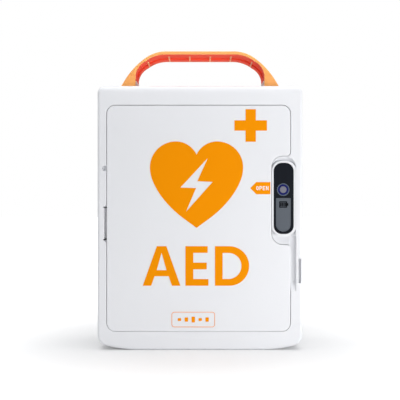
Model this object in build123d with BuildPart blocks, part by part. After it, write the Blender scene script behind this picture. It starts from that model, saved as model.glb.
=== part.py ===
from build123d import *
import math
import os

# Automated external defibrillator in an upright, lidded plastic case.
# Frame: +X to the right seen from the front, front faces -Y, +Z up.
# The origin is under the middle of the case, on the surface it stands on. Sizes are in mm.

# ---------------------------------------------------------------- driving dimensions
CASE_W = 220.0
CASE_H = 284.0
FRONT_Y = -45.0
BACK_Y = 43.0
FOOT_Y = 45.0                 # rear feet stand proud of the back
PARTING_Y = 24.0              # front and rear housings meet here
WALL = 2.5
TOP_CORNER_R = 8.5
LOW_CORNER_R = 12.0
BOTTOM_FLAT = 65.0            # half-width of the flat that the case stands on
BOTTOM_TURN = 14.0            # degrees the bottom rises through before the corner
TOP_FRONT_ROUND = 8.5
FRONT_EDGE_ROUND = 3.0
BACK_EDGE_ROUND = 5.0

LID_LEFT, LID_RIGHT = -100.0, 97.0
LID_LOW, LID_TOP = 20.0, 262.3
LID_CORNER_R = 9.0
LID_GAP = 0.45
HINGE_SIDE_GAP = 0.3
LID_LOW_GAP = 0.2
LID_HORN_R = 4.0              # the lid's corners above and below the scoop
LID_FRONT = -44.75            # printed labels bring it level with the case front
LID_SKIN = 2.5
LID_RIM_Y = -38.6
LID_BACK = -37.0
LEDGE_Y = -36.5               # sealing ledge that the lid closes onto
LEDGE_BACK = -33.5
LEDGE_W = 6.0

SCOOP = (76.6, 102.7, 113.0, 208.0)      # finger scoop round the status window: x, x, z, z
SCOOP_R = 12.0
SCOOP_DEPTH = 5.0
WINDOW = (78.9, 100.4, 124.3, 200.7)     # status window: x, x, z, z
WINDOW_R = 9.0
WINDOW_FRONT = -44.6
DISPLAY = (81.5, 97.3, 127.0, 162.9)     # status display in the window: x, x, z, z
DISPLAY_FOOT_R = 7.8
RIM = (77.05, 103.2, 122.5, 202.5)       # white rim that the window stands in: x, x, z, z
RIM_R = 10.5

CHANNEL = (96.0, 103.2, 63.0, 118.0)     # finger channel beside the lid's right edge
CHANNEL_DEPTH = 5.0
CHANNEL_RAMP = 10.0

HINGE_X, HINGE_Y = -104.9, -41.6
HINGE_Z = 135.5
HINGE_LOW, HINGE_HIGH = 118.0, 153.0
PIN_R = 1.2
KNUCKLE_R = 2.2
SWING_CLEAR = 0.15            # the lid's hinge side is hollowed to swing this far clear of the well's edge
SLOT_SLANT = 2.6              # the slot's ends slant by this much
ARM_BACK = -34.4
ARM_RIGHT = -78.0
ARM_HALF_T = 1.5
ARM_SCREW_X, ARM_SCREW_Z = -86.0, (126.0, 145.0)
SCREW_R, SCREW_HEAD_R = 1.5, 3.0
HEAD_SEAT_Y = -35.6

SIDE_SLOT = (105.6, 108.4, 71.8, 98.2)   # slot at the right edge: x, x, z, z
SIDE_SLOT_R, SIDE_SLOT_DEPTH = 1.2, 5.0
SIDE_NOTCH_AT, SIDE_NOTCH_R, SIDE_NOTCH_DEPTH = (-102.0, 194.6), 2.7, 4.0
HOLLOW = (12.0, 20.6, 1.0)    # shallow crescent under the lid: low z, high z, depth at its top
HOLLOW_HALF = 88.0

DECK_FRONT = LEDGE_BACK
DECK_T = 2.5
DECK_BACK = DECK_FRONT + DECK_T
TRAY = (-88.0, 60.0, 140.0, 250.0)       # inside of the electrode tray
TRAY_FLOOR = -16.0
BUTTON_FRONT = -36.0
BUTTON_GAP = 0.35
POWER_AT, POWER_R = (-66.0, 96.0), 11.0
SHOCK_AT, SHOCK_R = (12.0, 82.0), 17.0
INFO_AT, INFO_R = (-66.0, 54.0), 7.0
SPEAKER_AT, SPEAKER_R = (66.0, 66.0), 21.0
GRILLE_PITCH = 5.4
SOCKET_AT = (-26.0, 104.0)
SOCKET_SIZE = (17.0, 8.0)
SOCKET_DEPTH = 12.0
SELECTOR_AT = (-27.0, 52.0)
SELECTOR_TRAVEL = 8.0
CATCH = (84.0, 90.5, 72.0, 80.0)         # snap tongue on the lid: x, x, z, z
CATCH_TIP = -31.8
MAGNET_AT = (84.0, 40.0)
KEY_BOARD_Y = -24.5
BOARD_T = 1.6
MAIN_BOARD_Y = -9.0
COIN_AT = (-60.0, 180.0)

BAY = (-60.0, 60.0, 24.0, 112.0)         # inside of the battery bay
BAY_FRONT = -4.0
BATTERY_GAP = 0.4

HANDLE_TOP = 324.0
HANDLE_RISE = 0.9             # the crown stands above its front and back edges by this much
HANDLE_D = 45.0
LIP_T = 2.6
HANDLE_TOP_FLAT = 37.5
SHOULDER_R1, SHOULDER_TURN1 = 38.0, 36.0
SHOULDER_R2, SHOULDER_TURN2 = 85.0, 23.0
GRIP_Z = HANDLE_TOP - LIP_T
GRIP_HALF = 71.1
CROWN_HALF = 38.0             # straight part of the handle's inner line, then its bend
BEND_R = 36.0
BEND_TURN = 38.0
RIB_X = (-34.9, -11.6, 11.6, 34.9)
RIB_TURN = 34.0               # place of the outermost ribs round the bend, degrees
RIB_T = 1.6
POCKET_HALF = 10.0
POCKET_DEPTH = 1.0
POCKET_LINER_T = 0.6
RIB_H = 1.6
SEAM_HALF, SEAM_DEPTH = 0.35, 0.6
LINER_T = 1.1
LINER_HALF = 21.2
FOOT_SEAM_Z = 298.4
BOSS = (70.6, 80.0, 293.5)    # white boss inside each leg: inner x, outer x, top
BOSS_HALF = 13.0
PIN_Z = 289.0

SCREW_AT = [(x, z) for x in (-97.0, 97.0) for z in (30.0, 116.0, 262.0)]
FOOT_AT = [(x, z) for x in (-80.0, 80.0) for z in (26.0, 258.0)]

os.makedirs("parts", exist_ok=True)


# ---------------------------------------------------------------- helpers
def front_plane(y):
    """Plane across the case at depth y. Its own x is +X, its own y is +Z and it faces the front."""
    return Plane.XZ.offset(-y)


def finish(part, name):
    """Label a finished piece and write it."""
    part.label = name
    export_step(part, f"parts/{name}.step")


def panel(outline, front, back):
    """Solid slab of a flat outline, from depth front to depth back."""
    with BuildPart() as slab:
        with BuildSketch(front_plane(back)):
            add(outline)
        extrude(amount=back - front)
    return slab.part


def rounded(limits, radius, grow=0.0):
    """Rounded rectangle between x, x, z, z, grown outwards all round."""
    x0, x1, z0, z1 = limits
    with BuildSketch() as shape:
        with Locations(((x0 + x1) / 2, (z0 + z1) / 2)):
            RectangleRounded(x1 - x0 + 2 * grow, z1 - z0 + 2 * grow, radius + grow)
    return shape.sketch_local


def disc(centre, radius, inner=0.0):
    """Disc or ring seen from the front."""
    with BuildSketch() as shape:
        with Locations(centre):
            Circle(radius)
            if inner:
                Circle(inner, mode=Mode.SUBTRACT)
    return shape.sketch_local


def block(limits, y0, y1):
    """Plain block between x, x, z, z and two depths."""
    x0, x1, z0, z1 = limits
    with BuildPart() as solid:
        with Locations(((x0 + x1) / 2, (y0 + y1) / 2, (z0 + z1) / 2)):
            Box(x1 - x0, y1 - y0, z1 - z0)
    return solid.part


def case_outline(inset):
    """Front view of the case: nearly straight sides, small top corners and a gently bulged bottom."""
    turn = math.radians(BOTTOM_TURN)
    bulge_r = LOW_CORNER_R + (CASE_W / 2 - BOTTOM_FLAT - LOW_CORNER_R) / math.sin(turn)
    with BuildSketch() as shape:
        with BuildLine():
            flat = Line((0, inset), (BOTTOM_FLAT, inset))
            bulge = JernArc(flat @ 1, flat % 1, bulge_r - inset, BOTTOM_TURN)
            corner = JernArc(bulge @ 1, bulge % 1, LOW_CORNER_R - inset, 90 - BOTTOM_TURN)
            side = Line(corner @ 1, (CASE_W / 2 - inset, CASE_H - TOP_CORNER_R))
            top_corner = JernArc(side @ 1, side % 1, TOP_CORNER_R - inset, 90)
            top = Line(top_corner @ 1, (0, CASE_H - inset))
            Line(top @ 1, flat @ 0)
        make_face()
        mirror(about=Plane.YZ)
    return shape.sketch_local


def case_block(inset):
    """Whole case as one rounded block, every face moved inwards by inset."""
    depth = BACK_Y - FRONT_Y - 2 * inset
    with BuildPart() as solid:
        with BuildSketch(front_plane(BACK_Y - inset)):
            add(case_outline(inset))
        extrude(amount=depth)
        with BuildSketch(Plane.YZ) as side_view:
            with Locations(((FRONT_Y + BACK_Y) / 2, CASE_H / 2)):
                Rectangle(depth, CASE_H - 2 * inset)
            top_front = side_view.vertices().group_by(Axis.Y)[-1].sort_by(Axis.X)[0]
            fillet(top_front, TOP_FRONT_ROUND - inset)
        extrude(amount=CASE_W, both=True, mode=Mode.INTERSECT)
        rear_face = solid.faces().sort_by(Axis.Y)[-1]
        fillet(rear_face.edges(), BACK_EDGE_ROUND - inset)
        if inset == 0:
            front_edges = solid.faces().filter_by(Axis.Y).sort_by(Axis.Y)[0].edges()
            fillet([e for e in front_edges if e.center().Z < CASE_H - 2 * TOP_FRONT_ROUND], FRONT_EDGE_ROUND)
    return solid.part


def lid_outline(grow, notch=True, snug=False):
    """Front view of the lid, grown all round. The notch leaves room for the status window.
    Snug brings the hinge side and the lower edge in from the gap of the other sides."""
    left = LID_LEFT + (LID_GAP - HINGE_SIDE_GAP if snug else 0.0)
    low = LID_LOW + (LID_GAP - LID_LOW_GAP if snug else 0.0)
    with BuildSketch() as shape:
        add(rounded((left, LID_RIGHT, low, LID_TOP), LID_CORNER_R, grow))
        if notch:
            x0, _, z0, z1 = SCOOP
            add(rounded((x0, x0 + 2 * (CASE_W / 2 - x0), z0, z1), SCOOP_R, -grow), mode=Mode.SUBTRACT)
            horn_r = max(LID_HORN_R + grow, 0.3)
            right_corners = shape.vertices().group_by(Axis.X)[-1].sort_by(Axis.Y)
            fillet(right_corners[1:-1], horn_r)
    return shape.sketch_local


def scoop_cutter():
    """Finger scoop: tall at the front, closing in to the rim of the window at its floor."""
    with BuildPart() as solid:
        with BuildSketch(front_plane(FRONT_Y - 0.01)):
            add(rounded(SCOOP, SCOOP_R))
        with BuildSketch(front_plane(FRONT_Y + SCOOP_DEPTH)):
            add(rounded((SCOOP[0], SCOOP[1], RIM[2] - 1.0, RIM[3] + 1.0), SCOOP_R - 1.0))
        loft()
    return solid.part


def swing_cutter():
    """Turned solid about the hinge pin, just larger than the circle of each point of the well's edge."""
    reach = LID_LEFT - HINGE_SIDE_GAP - HINGE_X
    set_back = HINGE_Y - FRONT_Y
    corner_r = LID_CORNER_R + LID_GAP
    corner = []
    for turn in range(0, 90, 10):
        out = reach + corner_r * (1 - math.cos(math.radians(turn)))
        rise = corner_r * math.sin(math.radians(turn))
        corner.append((math.hypot(out, set_back) + SWING_CLEAR, rise))
    low, high = LID_LOW - LID_LOW_GAP + corner_r, LID_TOP + LID_GAP - corner_r
    side = [(out, low - rise) for out, rise in reversed(corner)]
    side += [(out, high + rise) for out, rise in corner]
    with BuildPart() as solid:
        with BuildSketch(Plane.XZ) as profile:
            with BuildLine():
                Polyline((0, side[0][1]), *side, (0, side[-1][1]), close=True)
            make_face()
        revolve(axis=Axis.Z)
    return Pos(HINGE_X, HINGE_Y, 0) * solid.part


def crescent_cutter():
    """Very large leaning cylinder that leaves a shallow crescent in the front face."""
    low, high, depth = HOLLOW
    lean = math.atan2(depth, high - low)
    bow = (high - low) * math.sin(lean)
    radius = HOLLOW_HALF ** 2 / (2 * bow)
    middle = (0, FRONT_Y + depth / 2 - radius * math.cos(lean), (low + high) / 2 + radius * math.sin(lean))
    with BuildPart() as solid:
        with Locations(Location(middle, (-math.degrees(lean), 0, 0))):
            Cylinder(radius, 3 * (high - low))
    return solid.part


def handle_outer(inset):
    """Outer line of the handle in front view: flat crown, rounded shoulders and splayed legs."""
    turn = SHOULDER_TURN1 + SHOULDER_TURN2
    with BuildSketch() as shape:
        with BuildLine():
            crown = Line((0, HANDLE_TOP - inset), (HANDLE_TOP_FLAT, HANDLE_TOP - inset))
            upper = JernArc(crown @ 1, crown % 1, SHOULDER_R1 - inset, -SHOULDER_TURN1)
            lower = JernArc(upper @ 1, upper % 1, SHOULDER_R2 - inset, -SHOULDER_TURN2)
            leg_end = lower @ 1
            run = (leg_end.Y - CASE_H) / math.tan(math.radians(turn))
            leg = Line(leg_end, (leg_end.X + run, CASE_H))
            base = Line(leg @ 1, (0, CASE_H))
            Line(base @ 1, crown @ 0)
        make_face()
        mirror(about=Plane.YZ)
    return shape.sketch_local


def handle_opening(grow):
    """Inner line of the handle in front view, grown outwards."""
    half = GRIP_HALF + grow
    top = GRIP_Z + grow
    with BuildSketch() as shape:
        with BuildLine():
            crown = Line((0, top), (CROWN_HALF, top))
            bend = JernArc(crown @ 1, crown % 1, BEND_R + grow, -BEND_TURN)
            low = ThreePointArc(bend @ 1, (half - 1.6, 304.0 + grow / 2), (half, 294.0))
            leg = Line(low @ 1, (half, CASE_H - 1))
            base = Line(leg @ 1, (0, CASE_H - 1))
            Line(base @ 1, crown @ 0)
        make_face()
        mirror(about=Plane.YZ)
    return shape.sketch_local


def shoulder_rib(side, grow, below):
    """Rib that stands square to the bend of the handle's inner line, in one shoulder."""
    turn = math.radians(RIB_TURN)
    reach = BEND_R + (LINER_T + RIB_H + grow - below) / 2
    middle = (side * (CROWN_HALF + reach * math.sin(turn)), (LINER_HALF - POCKET_HALF) / 2,
              GRIP_Z - BEND_R + reach * math.cos(turn))
    with BuildPart() as solid:
        with Locations(Location(middle, (0, side * RIB_TURN, 0))):
            Box(RIB_T + 2 * grow, LINER_HALF + POCKET_HALF + 2 * grow, LINER_T + RIB_H + grow + below)
    return solid.part


def boss_outline(side, grow):
    """Front view of the white boss in a leg: its inner side flares out towards the case."""
    inner, outer, top = BOSS
    with BuildSketch() as shape:
        with BuildLine():
            foot = (side * (inner - 3.6 - grow), CASE_H - 1.0)
            flare = ThreePointArc(foot, (side * (inner - 1.3 - grow), CASE_H + 3.5),
                                  (side * (inner - grow), top + grow))
            Polyline(flare @ 1, (side * (outer + grow), top + grow), (side * (outer + grow), CASE_H - 1.0),
                     foot)
        make_face()
    return shape.sketch_local


def ramp_outline(side):
    """Front view of the low concave ramp that runs up to the outside of a leg."""
    start, end, rise = 93.0, 87.7, 2.6
    with BuildSketch() as shape:
        with BuildLine():
            curve = ThreePointArc((side * start, CASE_H - 0.1), (side * (end + 1.9), CASE_H + 0.7),
                                  (side * end, CASE_H + rise))
            Polyline(curve @ 1, (side * end, CASE_H - 0.6), (side * start, CASE_H - 0.6), curve @ 0)
        make_face()
    return shape.sketch_local


def letter_a(x, low, high):
    """Letter A standing on low: outer shape, triangular counter and open foot."""
    width, apex, foot = 40.3, 10.2, 9.0
    bar_low, bar_high = low + 10.2, low + 16.6
    slope = (width - apex) / 2 / (high - low)
    with BuildSketch() as shape:
        with BuildLine():
            Polyline((x, low), (x + (width - apex) / 2, high), (x + (width + apex) / 2, high),
                     (x + width, low),
                     (x + width - foot, low), (x + width - foot - slope * (bar_low - low), bar_low),
                     (x + foot + slope * (bar_low - low), bar_low), (x + foot, low), close=True)
        make_face()
        with BuildLine():
            inner = foot + slope * (bar_high - low)
            Polyline((x + inner, bar_high), (x + width - inner, bar_high),
                     (x + width / 2, high - 7.0), close=True)
        make_face(mode=Mode.SUBTRACT)
    return shape.sketch_local


def letter_e(x, low, high):
    """Letter E: a stem and three bars."""
    stem, bar = 8.4, 7.1
    with BuildSketch() as shape:
        add(rounded((x, x + stem, low, high), 0.2))
        for z, reach in ((low, 24.6), ((low + high - bar) / 2, 22.8), (high - bar, 23.8)):
            add(rounded((x, x + reach, z, z + bar), 0.2))
    return shape.sketch_local


def letter_d(x, low, high):
    """Letter D: a stem with a half-round bowl."""
    width, stem, bar = 36.6, 8.2, 7.2
    bowl = (high - low) / 2
    with BuildSketch() as shape:
        with BuildLine():
            top = Line((x, high), (x + width - bowl, high))
            curve = ThreePointArc(top @ 1, (x + width, (low + high) / 2), (x + width - bowl, low))
            Polyline(curve @ 1, (x, low), (x, high))
        make_face()
        with BuildLine():
            top = Line((x + stem, high - bar), (x + width - bowl, high - bar))
            curve = ThreePointArc(top @ 1, (x + width - stem, (low + high) / 2),
                                  (x + width - bowl, low + bar))
            Polyline(curve @ 1, (x + stem, low + bar), (x + stem, high - bar))
        make_face(mode=Mode.SUBTRACT)
    return shape.sketch_local


def heart_outline(centre, tip):
    """Heart with full round lobes and convex sides that close in to its tip."""
    dip, top, widest = 209.3, 223.5, 195.7
    lobe_x, half_width = 22.1, 49.9
    inner_r = (lobe_x ** 2 + (top - dip) ** 2) / (2 * (top - dip))
    inner_turn = math.asin(lobe_x / inner_r) / 2
    outer_turn = math.radians(45)
    side = ((46.3, 179.6), (36.8, 163.5), (21.5, 147.2))
    with BuildSketch() as shape:
        with BuildLine():
            inner = ThreePointArc((centre, dip), (centre + lobe_x - inner_r * math.sin(inner_turn),
                                                  top - inner_r * (1 - math.cos(inner_turn))),
                                  (centre + lobe_x, top))
            outer = ThreePointArc(inner @ 1, (centre + lobe_x + (half_width - lobe_x) * math.sin(outer_turn),
                                              widest + (top - widest) * math.cos(outer_turn)),
                                  (centre + half_width, widest))
            flank = Spline(outer @ 1, *[(centre + x, z) for x, z in side], (centre, tip),
                           tangents=((0, -1), (-0.80, -0.60)))
            Line(flank @ 1, inner @ 0)
        make_face()
        mirror(about=Plane.YZ.offset(centre))
    return shape.sketch_local


def display_outline(grow):
    """Status display: square shoulders and a half-round foot."""
    x0, x1, z0, z1 = DISPLAY
    with BuildSketch() as shape:
        add(rounded((x0, x1, z0, z0 + 3 * DISPLAY_FOOT_R), DISPLAY_FOOT_R, grow))
        add(rounded((x0, x1, z0 + DISPLAY_FOOT_R, z1), 0.8, grow))
    return shape.sketch_local


def bolt_outline(centre, size):
    """Six-cornered lightning bolt of a given height."""
    corners = ((0.21, 0.5), (-0.30, -0.05), (-0.01, -0.06), (-0.195, -0.5), (0.30, 0.055), (0.015, 0.07))
    with BuildSketch() as shape:
        with BuildLine():
            Polyline([(centre[0] + size * x, centre[1] + size * z) for x, z in corners], close=True)
        make_face()
    return shape.sketch_local


case_outside = case_block(0.0)
case_inside = case_block(WALL)
scoop = scoop_cutter()

# ---------------------------------------------------------------- front housing
with BuildPart() as front_housing:
    add(case_outside)
    add(case_inside, mode=Mode.SUBTRACT)
    split(bisect_by=front_plane(PARTING_Y), keep=Keep.TOP)
    # thick frame round the lid well, and the island that carries the status window
    well_walls = lid_outline(LID_GAP + WALL, notch=False)
    add(panel(well_walls, FRONT_Y + WALL - 0.5, LEDGE_BACK))
    channel_room = (LID_RIGHT + 1.0, CASE_W / 2 - WALL / 2, 58.0, 212.0)
    add(block(channel_room, FRONT_Y + WALL - 0.5, FRONT_Y + SCOOP_DEPTH + 2.5))
    add(block((-108.0, LID_LEFT, 186.0, 204.0), FRONT_Y + WALL - 0.5, FRONT_Y + 6.0))
    # lid well and the opening inside its sealing ledge
    add(panel(lid_outline(LID_GAP, snug=True), FRONT_Y - 1, LEDGE_Y), mode=Mode.SUBTRACT)
    add(panel(lid_outline(LID_GAP - LEDGE_W), LEDGE_Y - 1, LEDGE_BACK + 1), mode=Mode.SUBTRACT)
    # finger scoop, with the window's rim standing in it
    add(scoop, mode=Mode.SUBTRACT)
    add(panel(rounded(RIM, RIM_R), WINDOW_FRONT, LEDGE_BACK))
    add(panel(rounded(WINDOW, WINDOW_R, 0.05), WINDOW_FRONT - 1, WINDOW_FRONT + 2.1), mode=Mode.SUBTRACT)
    add(panel(rounded(WINDOW, WINDOW_R, -1.6), WINDOW_FRONT, LEDGE_BACK + 1), mode=Mode.SUBTRACT)
    # finger channel with a ramp at its lower end
    with BuildSketch(Plane.YZ.offset(CHANNEL[0])):
        with BuildLine():
            Polyline((FRONT_Y - 1, CHANNEL[2] - 2.0), (FRONT_Y + CHANNEL_DEPTH, CHANNEL[2] + CHANNEL_RAMP),
                     (FRONT_Y + CHANNEL_DEPTH, CHANNEL[3] + 4.0), (FRONT_Y - 1, CHANNEL[3] + 4.0), close=True)
        make_face()
    extrude(amount=CHANNEL[1] - CHANNEL[0], mode=Mode.SUBTRACT)
    add(crescent_cutter(), mode=Mode.SUBTRACT)
    # slot at the right edge and half-round notch at the left edge
    add(panel(rounded(SIDE_SLOT, SIDE_SLOT_R), FRONT_Y - 1, FRONT_Y + SIDE_SLOT_DEPTH), mode=Mode.SUBTRACT)
    notch = disc(SIDE_NOTCH_AT, SIDE_NOTCH_R)
    add(panel(notch, FRONT_Y - 1, FRONT_Y + SIDE_NOTCH_DEPTH), mode=Mode.SUBTRACT)
    # lid hinge: two pin bosses, the knuckle's room behind the skin, and the slot for the arm
    for z0, z1 in ((104.0, HINGE_LOW - 0.6), (HINGE_HIGH + 0.6, 167.0)):
        add(block((-107.8, -102.4, z0, z1), FRONT_Y + WALL - 0.5, HINGE_Y + 3.0))
    room = (HINGE_X - 2.5, LID_LEFT, HINGE_LOW - 0.4, HINGE_HIGH + 0.4)
    add(block(room, HINGE_Y - KNUCKLE_R - 0.2, LEDGE_BACK + 1), mode=Mode.SUBTRACT)
    slot_room = (-103.5, LID_LEFT, HINGE_LOW - 0.4, HINGE_HIGH + 0.4)
    add(block(slot_room, FRONT_Y - 1, LEDGE_BACK + 1), mode=Mode.SUBTRACT)
    with BuildSketch(front_plane(HINGE_Y)):
        for z, slant in ((slot_room[2], -SLOT_SLANT), (slot_room[3], SLOT_SLANT)):
            with BuildLine():
                Polyline((slot_room[0], z), (LID_LEFT, z + slant), (LID_LEFT, z), close=True)
            make_face()
    extrude(amount=HINGE_Y - FRONT_Y, mode=Mode.SUBTRACT)
    arm_path = (-103.0, -74.0, HINGE_LOW - 0.4, HINGE_HIGH + 0.4)
    add(block(arm_path, LEDGE_Y - 0.5, LEDGE_BACK + 1), mode=Mode.SUBTRACT)
    with Locations((HINGE_X, HINGE_Y, HINGE_Z)):
        Cylinder(PIN_R, 56.0, mode=Mode.SUBTRACT)
    # screw columns tied to the side walls
    for x, z in SCREW_AT:
        add(panel(disc((x, z), 5.0), -30.0, PARTING_Y))
        side = math.copysign(CASE_W / 2 - WALL / 2, x)
        add(block((min(x, side), max(x, side), z - 1.0, z + 1.0), -30.0, PARTING_Y))
        add(panel(disc((x, z), 1.65), 6.0, PARTING_Y + 1), mode=Mode.SUBTRACT)
    # bosses that the handle's legs slip over, and the small ramps outside them
    for side in (-1, 1):
        with BuildSketch(front_plane(BOSS_HALF)):
            add(boss_outline(side, 0.0))
        extrude(amount=2 * BOSS_HALF)
        with BuildSketch(front_plane(HANDLE_D / 2)):
            add(ramp_outline(side))
        extrude(amount=HANDLE_D)
        with BuildSketch(front_plane(16.0)):
            with Locations((side * (BOSS[1] - 3.5), PIN_Z)):
                Circle(PIN_R + 0.3)
        extrude(amount=32.0, mode=Mode.SUBTRACT)
finish(front_housing.part, "front_housing")

# ---------------------------------------------------------------- rear housing with the battery bay
with BuildPart() as rear_housing:
    add(case_outside)
    add(case_inside, mode=Mode.SUBTRACT)
    split(bisect_by=front_plane(PARTING_Y + 0.8), keep=Keep.BOTTOM)
    add(panel(rounded(BAY, 3.0, 2.0), BAY_FRONT - 2.0, BACK_Y - 1.0))
    add(panel(rounded(BAY, 3.0), BAY_FRONT, BACK_Y + 1.0), mode=Mode.SUBTRACT)
    contact_slot = (-20.0, 20.0, BAY[2] + 8.0, BAY[2] + 20.0)
    add(block(contact_slot, BAY_FRONT - 3.0, BAY_FRONT + 1.0), mode=Mode.SUBTRACT)
    for x, z in SCREW_AT:
        add(panel(disc((x, z), 5.6), PARTING_Y + 0.8, BACK_Y - 1.0))
        add(panel(disc((x, z), 3.6), 28.0, BACK_Y + 1.0), mode=Mode.SUBTRACT)
        add(panel(disc((x, z), 1.8), PARTING_Y, 29.0), mode=Mode.SUBTRACT)
    for x, z in FOOT_AT:
        add(panel(disc((x, z), 8.2), BACK_Y - 0.8, BACK_Y + 1.0), mode=Mode.SUBTRACT)
    vents = [(x, 150.0 + 8.0 * row) for row in range(5) for x in (-45.0, 0.0, 45.0)]
    for x, z in vents:
        add(panel(rounded((x - 15.0, x + 15.0, z - 1.0, z + 1.0), 0.9), BACK_Y - 1.2, BACK_Y + 1.0),
            mode=Mode.SUBTRACT)
finish(rear_housing.part, "rear_housing")

with BuildPart() as housing_gasket:
    with BuildSketch(front_plane(PARTING_Y + 0.8)):
        add(case_outline(0.6))
        add(case_outline(WALL), mode=Mode.SUBTRACT)
    extrude(amount=0.8)
finish(housing_gasket.part, "housing_gasket")

with BuildPart() as housing_screws:
    for x, z in SCREW_AT:
        add(panel(disc((x, z), 1.6), 8.0, 28.0))
        add(panel(disc((x, z), 3.2), 28.0, 30.4))
        with BuildSketch(front_plane(30.5)):
            with Locations((x, z)):
                RegularPolygon(1.5, 6)
        extrude(amount=1.4, mode=Mode.SUBTRACT)
finish(housing_screws.part, "housing_screws")

with BuildPart() as rear_feet:
    for x, z in FOOT_AT:
        add(panel(disc((x, z), 8.0), BACK_Y - 0.8, FOOT_Y))
    fillet(rear_feet.faces().filter_by(Axis.Y).group_by(Axis.Y)[-1].edges(), 1.0)
finish(rear_feet.part, "rear_feet")

# ---------------------------------------------------------------- carrying handle
with BuildPart() as handle_shell:
    with BuildSketch(front_plane(HANDLE_D / 2)):
        add(handle_outer(-HANDLE_RISE))
    extrude(amount=HANDLE_D)
    # each long outer edge is eased down to the height of the handle's edge
    outer_edges = [e for f in handle_shell.faces().filter_by(Axis.Y) for e in f.edges()
                   if e.center().Z > CASE_H + 1.0]
    chamfer(outer_edges, length=HANDLE_RISE)
    add(panel(handle_opening(0.0), -HANDLE_D, HANDLE_D), mode=Mode.SUBTRACT)
    # seat of the grip liner, and the pocket above it in the crown
    add(panel(handle_opening(LINER_T), -LINER_HALF, LINER_HALF), mode=Mode.SUBTRACT)
    with BuildSketch(front_plane(POCKET_HALF)):
        add(handle_opening(LINER_T + POCKET_DEPTH))
        with Locations((0, CASE_H)):
            Rectangle(2 * CASE_W, 2 * (FOOT_SEAM_Z - CASE_H), mode=Mode.SUBTRACT)
    extrude(amount=2 * POCKET_HALF, mode=Mode.SUBTRACT)
    # ribs across the pocket and the back lip
    for x in RIB_X:
        add(block((x - RIB_T / 2, x + RIB_T / 2, GRIP_Z, GRIP_Z + LINER_T + RIB_H), -POCKET_HALF, LINER_HALF))
    for side in (-1, 1):
        add(shoulder_rib(side, 0.0, 0.0))
    # each leg is open inside for its boss and cross pin, with a thin seam line above the foot
    for side in (-1, 1):
        add(panel(boss_outline(side, 0.12), -BOSS_HALF - 0.15, BOSS_HALF + 0.15), mode=Mode.SUBTRACT)
        add(panel(disc((side * (BOSS[1] - 3.5), PIN_Z), PIN_R + 0.3), -16.0, 16.0), mode=Mode.SUBTRACT)
        add(panel(ramp_outline(side), -HANDLE_D, HANDLE_D), mode=Mode.SUBTRACT)
    for y0, y1 in ((-HANDLE_D, SEAM_DEPTH - HANDLE_D / 2), (HANDLE_D / 2 - SEAM_DEPTH, HANDLE_D)):
        seam = (-CASE_W, CASE_W, FOOT_SEAM_Z - SEAM_HALF, FOOT_SEAM_Z + SEAM_HALF)
        add(block(seam, y0, y1), mode=Mode.SUBTRACT)
finish(handle_shell.part, "handle_shell")

with BuildPart() as handle_grip:
    add(panel(handle_opening(LINER_T - 0.02), 0.1 - LINER_HALF, LINER_HALF - 0.1))
    with BuildSketch(front_plane(POCKET_HALF - 0.1)):
        add(handle_opening(LINER_T + POCKET_DEPTH - 0.1))
        with Locations((0, CASE_H)):
            Rectangle(2 * CASE_W, 2 * (FOOT_SEAM_Z + 0.2 - CASE_H), mode=Mode.SUBTRACT)
    extrude(amount=2 * POCKET_HALF - 0.2)
    add(panel(handle_opening(0.05), -HANDLE_D, HANDLE_D), mode=Mode.SUBTRACT)
    with BuildSketch(front_plane(POCKET_HALF - 1.2)):
        add(handle_opening(LINER_T + POCKET_DEPTH - 0.1 - POCKET_LINER_T))
        with Locations((0, CASE_H)):
            Rectangle(2 * CASE_W, 2 * (FOOT_SEAM_Z + 1.2 - CASE_H), mode=Mode.SUBTRACT)
    extrude(amount=2 * POCKET_HALF - 2.4, mode=Mode.SUBTRACT)
    for x in RIB_X:
        rib = (x - RIB_T / 2 - 0.05, x + RIB_T / 2 + 0.05, GRIP_Z - 1.0, GRIP_Z + LINER_T + RIB_H)
        add(block(rib, -POCKET_HALF, LINER_HALF + 1.0), mode=Mode.SUBTRACT)
    for side in (-1, 1):
        add(shoulder_rib(side, 0.05, 1.0), mode=Mode.SUBTRACT)
    # the liner stops above the bosses
    below = (-CASE_W, CASE_W, CASE_H - 2.0, BOSS[2] + 0.6)
    add(block(below, -HANDLE_D, HANDLE_D), mode=Mode.SUBTRACT)
finish(handle_grip.part, "handle_grip")

with BuildPart() as handle_pins:
    for side in (-1, 1):
        add(panel(disc((side * (BOSS[1] - 3.5), PIN_Z), PIN_R + 0.25), -15.5, 15.5))
finish(handle_pins.part, "handle_pins")

# ---------------------------------------------------------------- lid and its hinge
with BuildPart() as lid_panel:
    add(panel(lid_outline(0.0), LID_FRONT, LID_RIM_Y))
    front_edges = lid_panel.faces().filter_by(Axis.Y).sort_by(Axis.Y)[0].edges()
    fillet(front_edges, 0.9)
    add(panel(lid_outline(-2.2), LID_FRONT + LID_SKIN, LID_RIM_Y + 1.0), mode=Mode.SUBTRACT)
    add(swing_cutter(), mode=Mode.SUBTRACT)
finish(lid_panel.part, "lid_panel")

with BuildPart() as lid_liner:
    add(panel(lid_outline(-0.8), LID_RIM_Y, LID_BACK))
    with BuildSketch(front_plane(LID_BACK + 1.0)):
        add(lid_outline(-2.0))
        add(lid_outline(-4.2), mode=Mode.SUBTRACT)
    extrude(amount=1.6, mode=Mode.SUBTRACT)
finish(lid_liner.part, "lid_liner")

with BuildPart() as lid_gasket:
    with BuildSketch(front_plane(LEDGE_Y - 0.3)):
        add(lid_outline(-2.1))
        add(lid_outline(-4.1), mode=Mode.SUBTRACT)
        # the seal is cut away where the hinge arm crosses it
        with Locations((LID_LEFT, (HINGE_LOW + HINGE_HIGH) / 2)):
            Rectangle(16.0, HINGE_HIGH - HINGE_LOW, mode=Mode.SUBTRACT)
    extrude(amount=0.8)
finish(lid_gasket.part, "lid_gasket")

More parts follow.
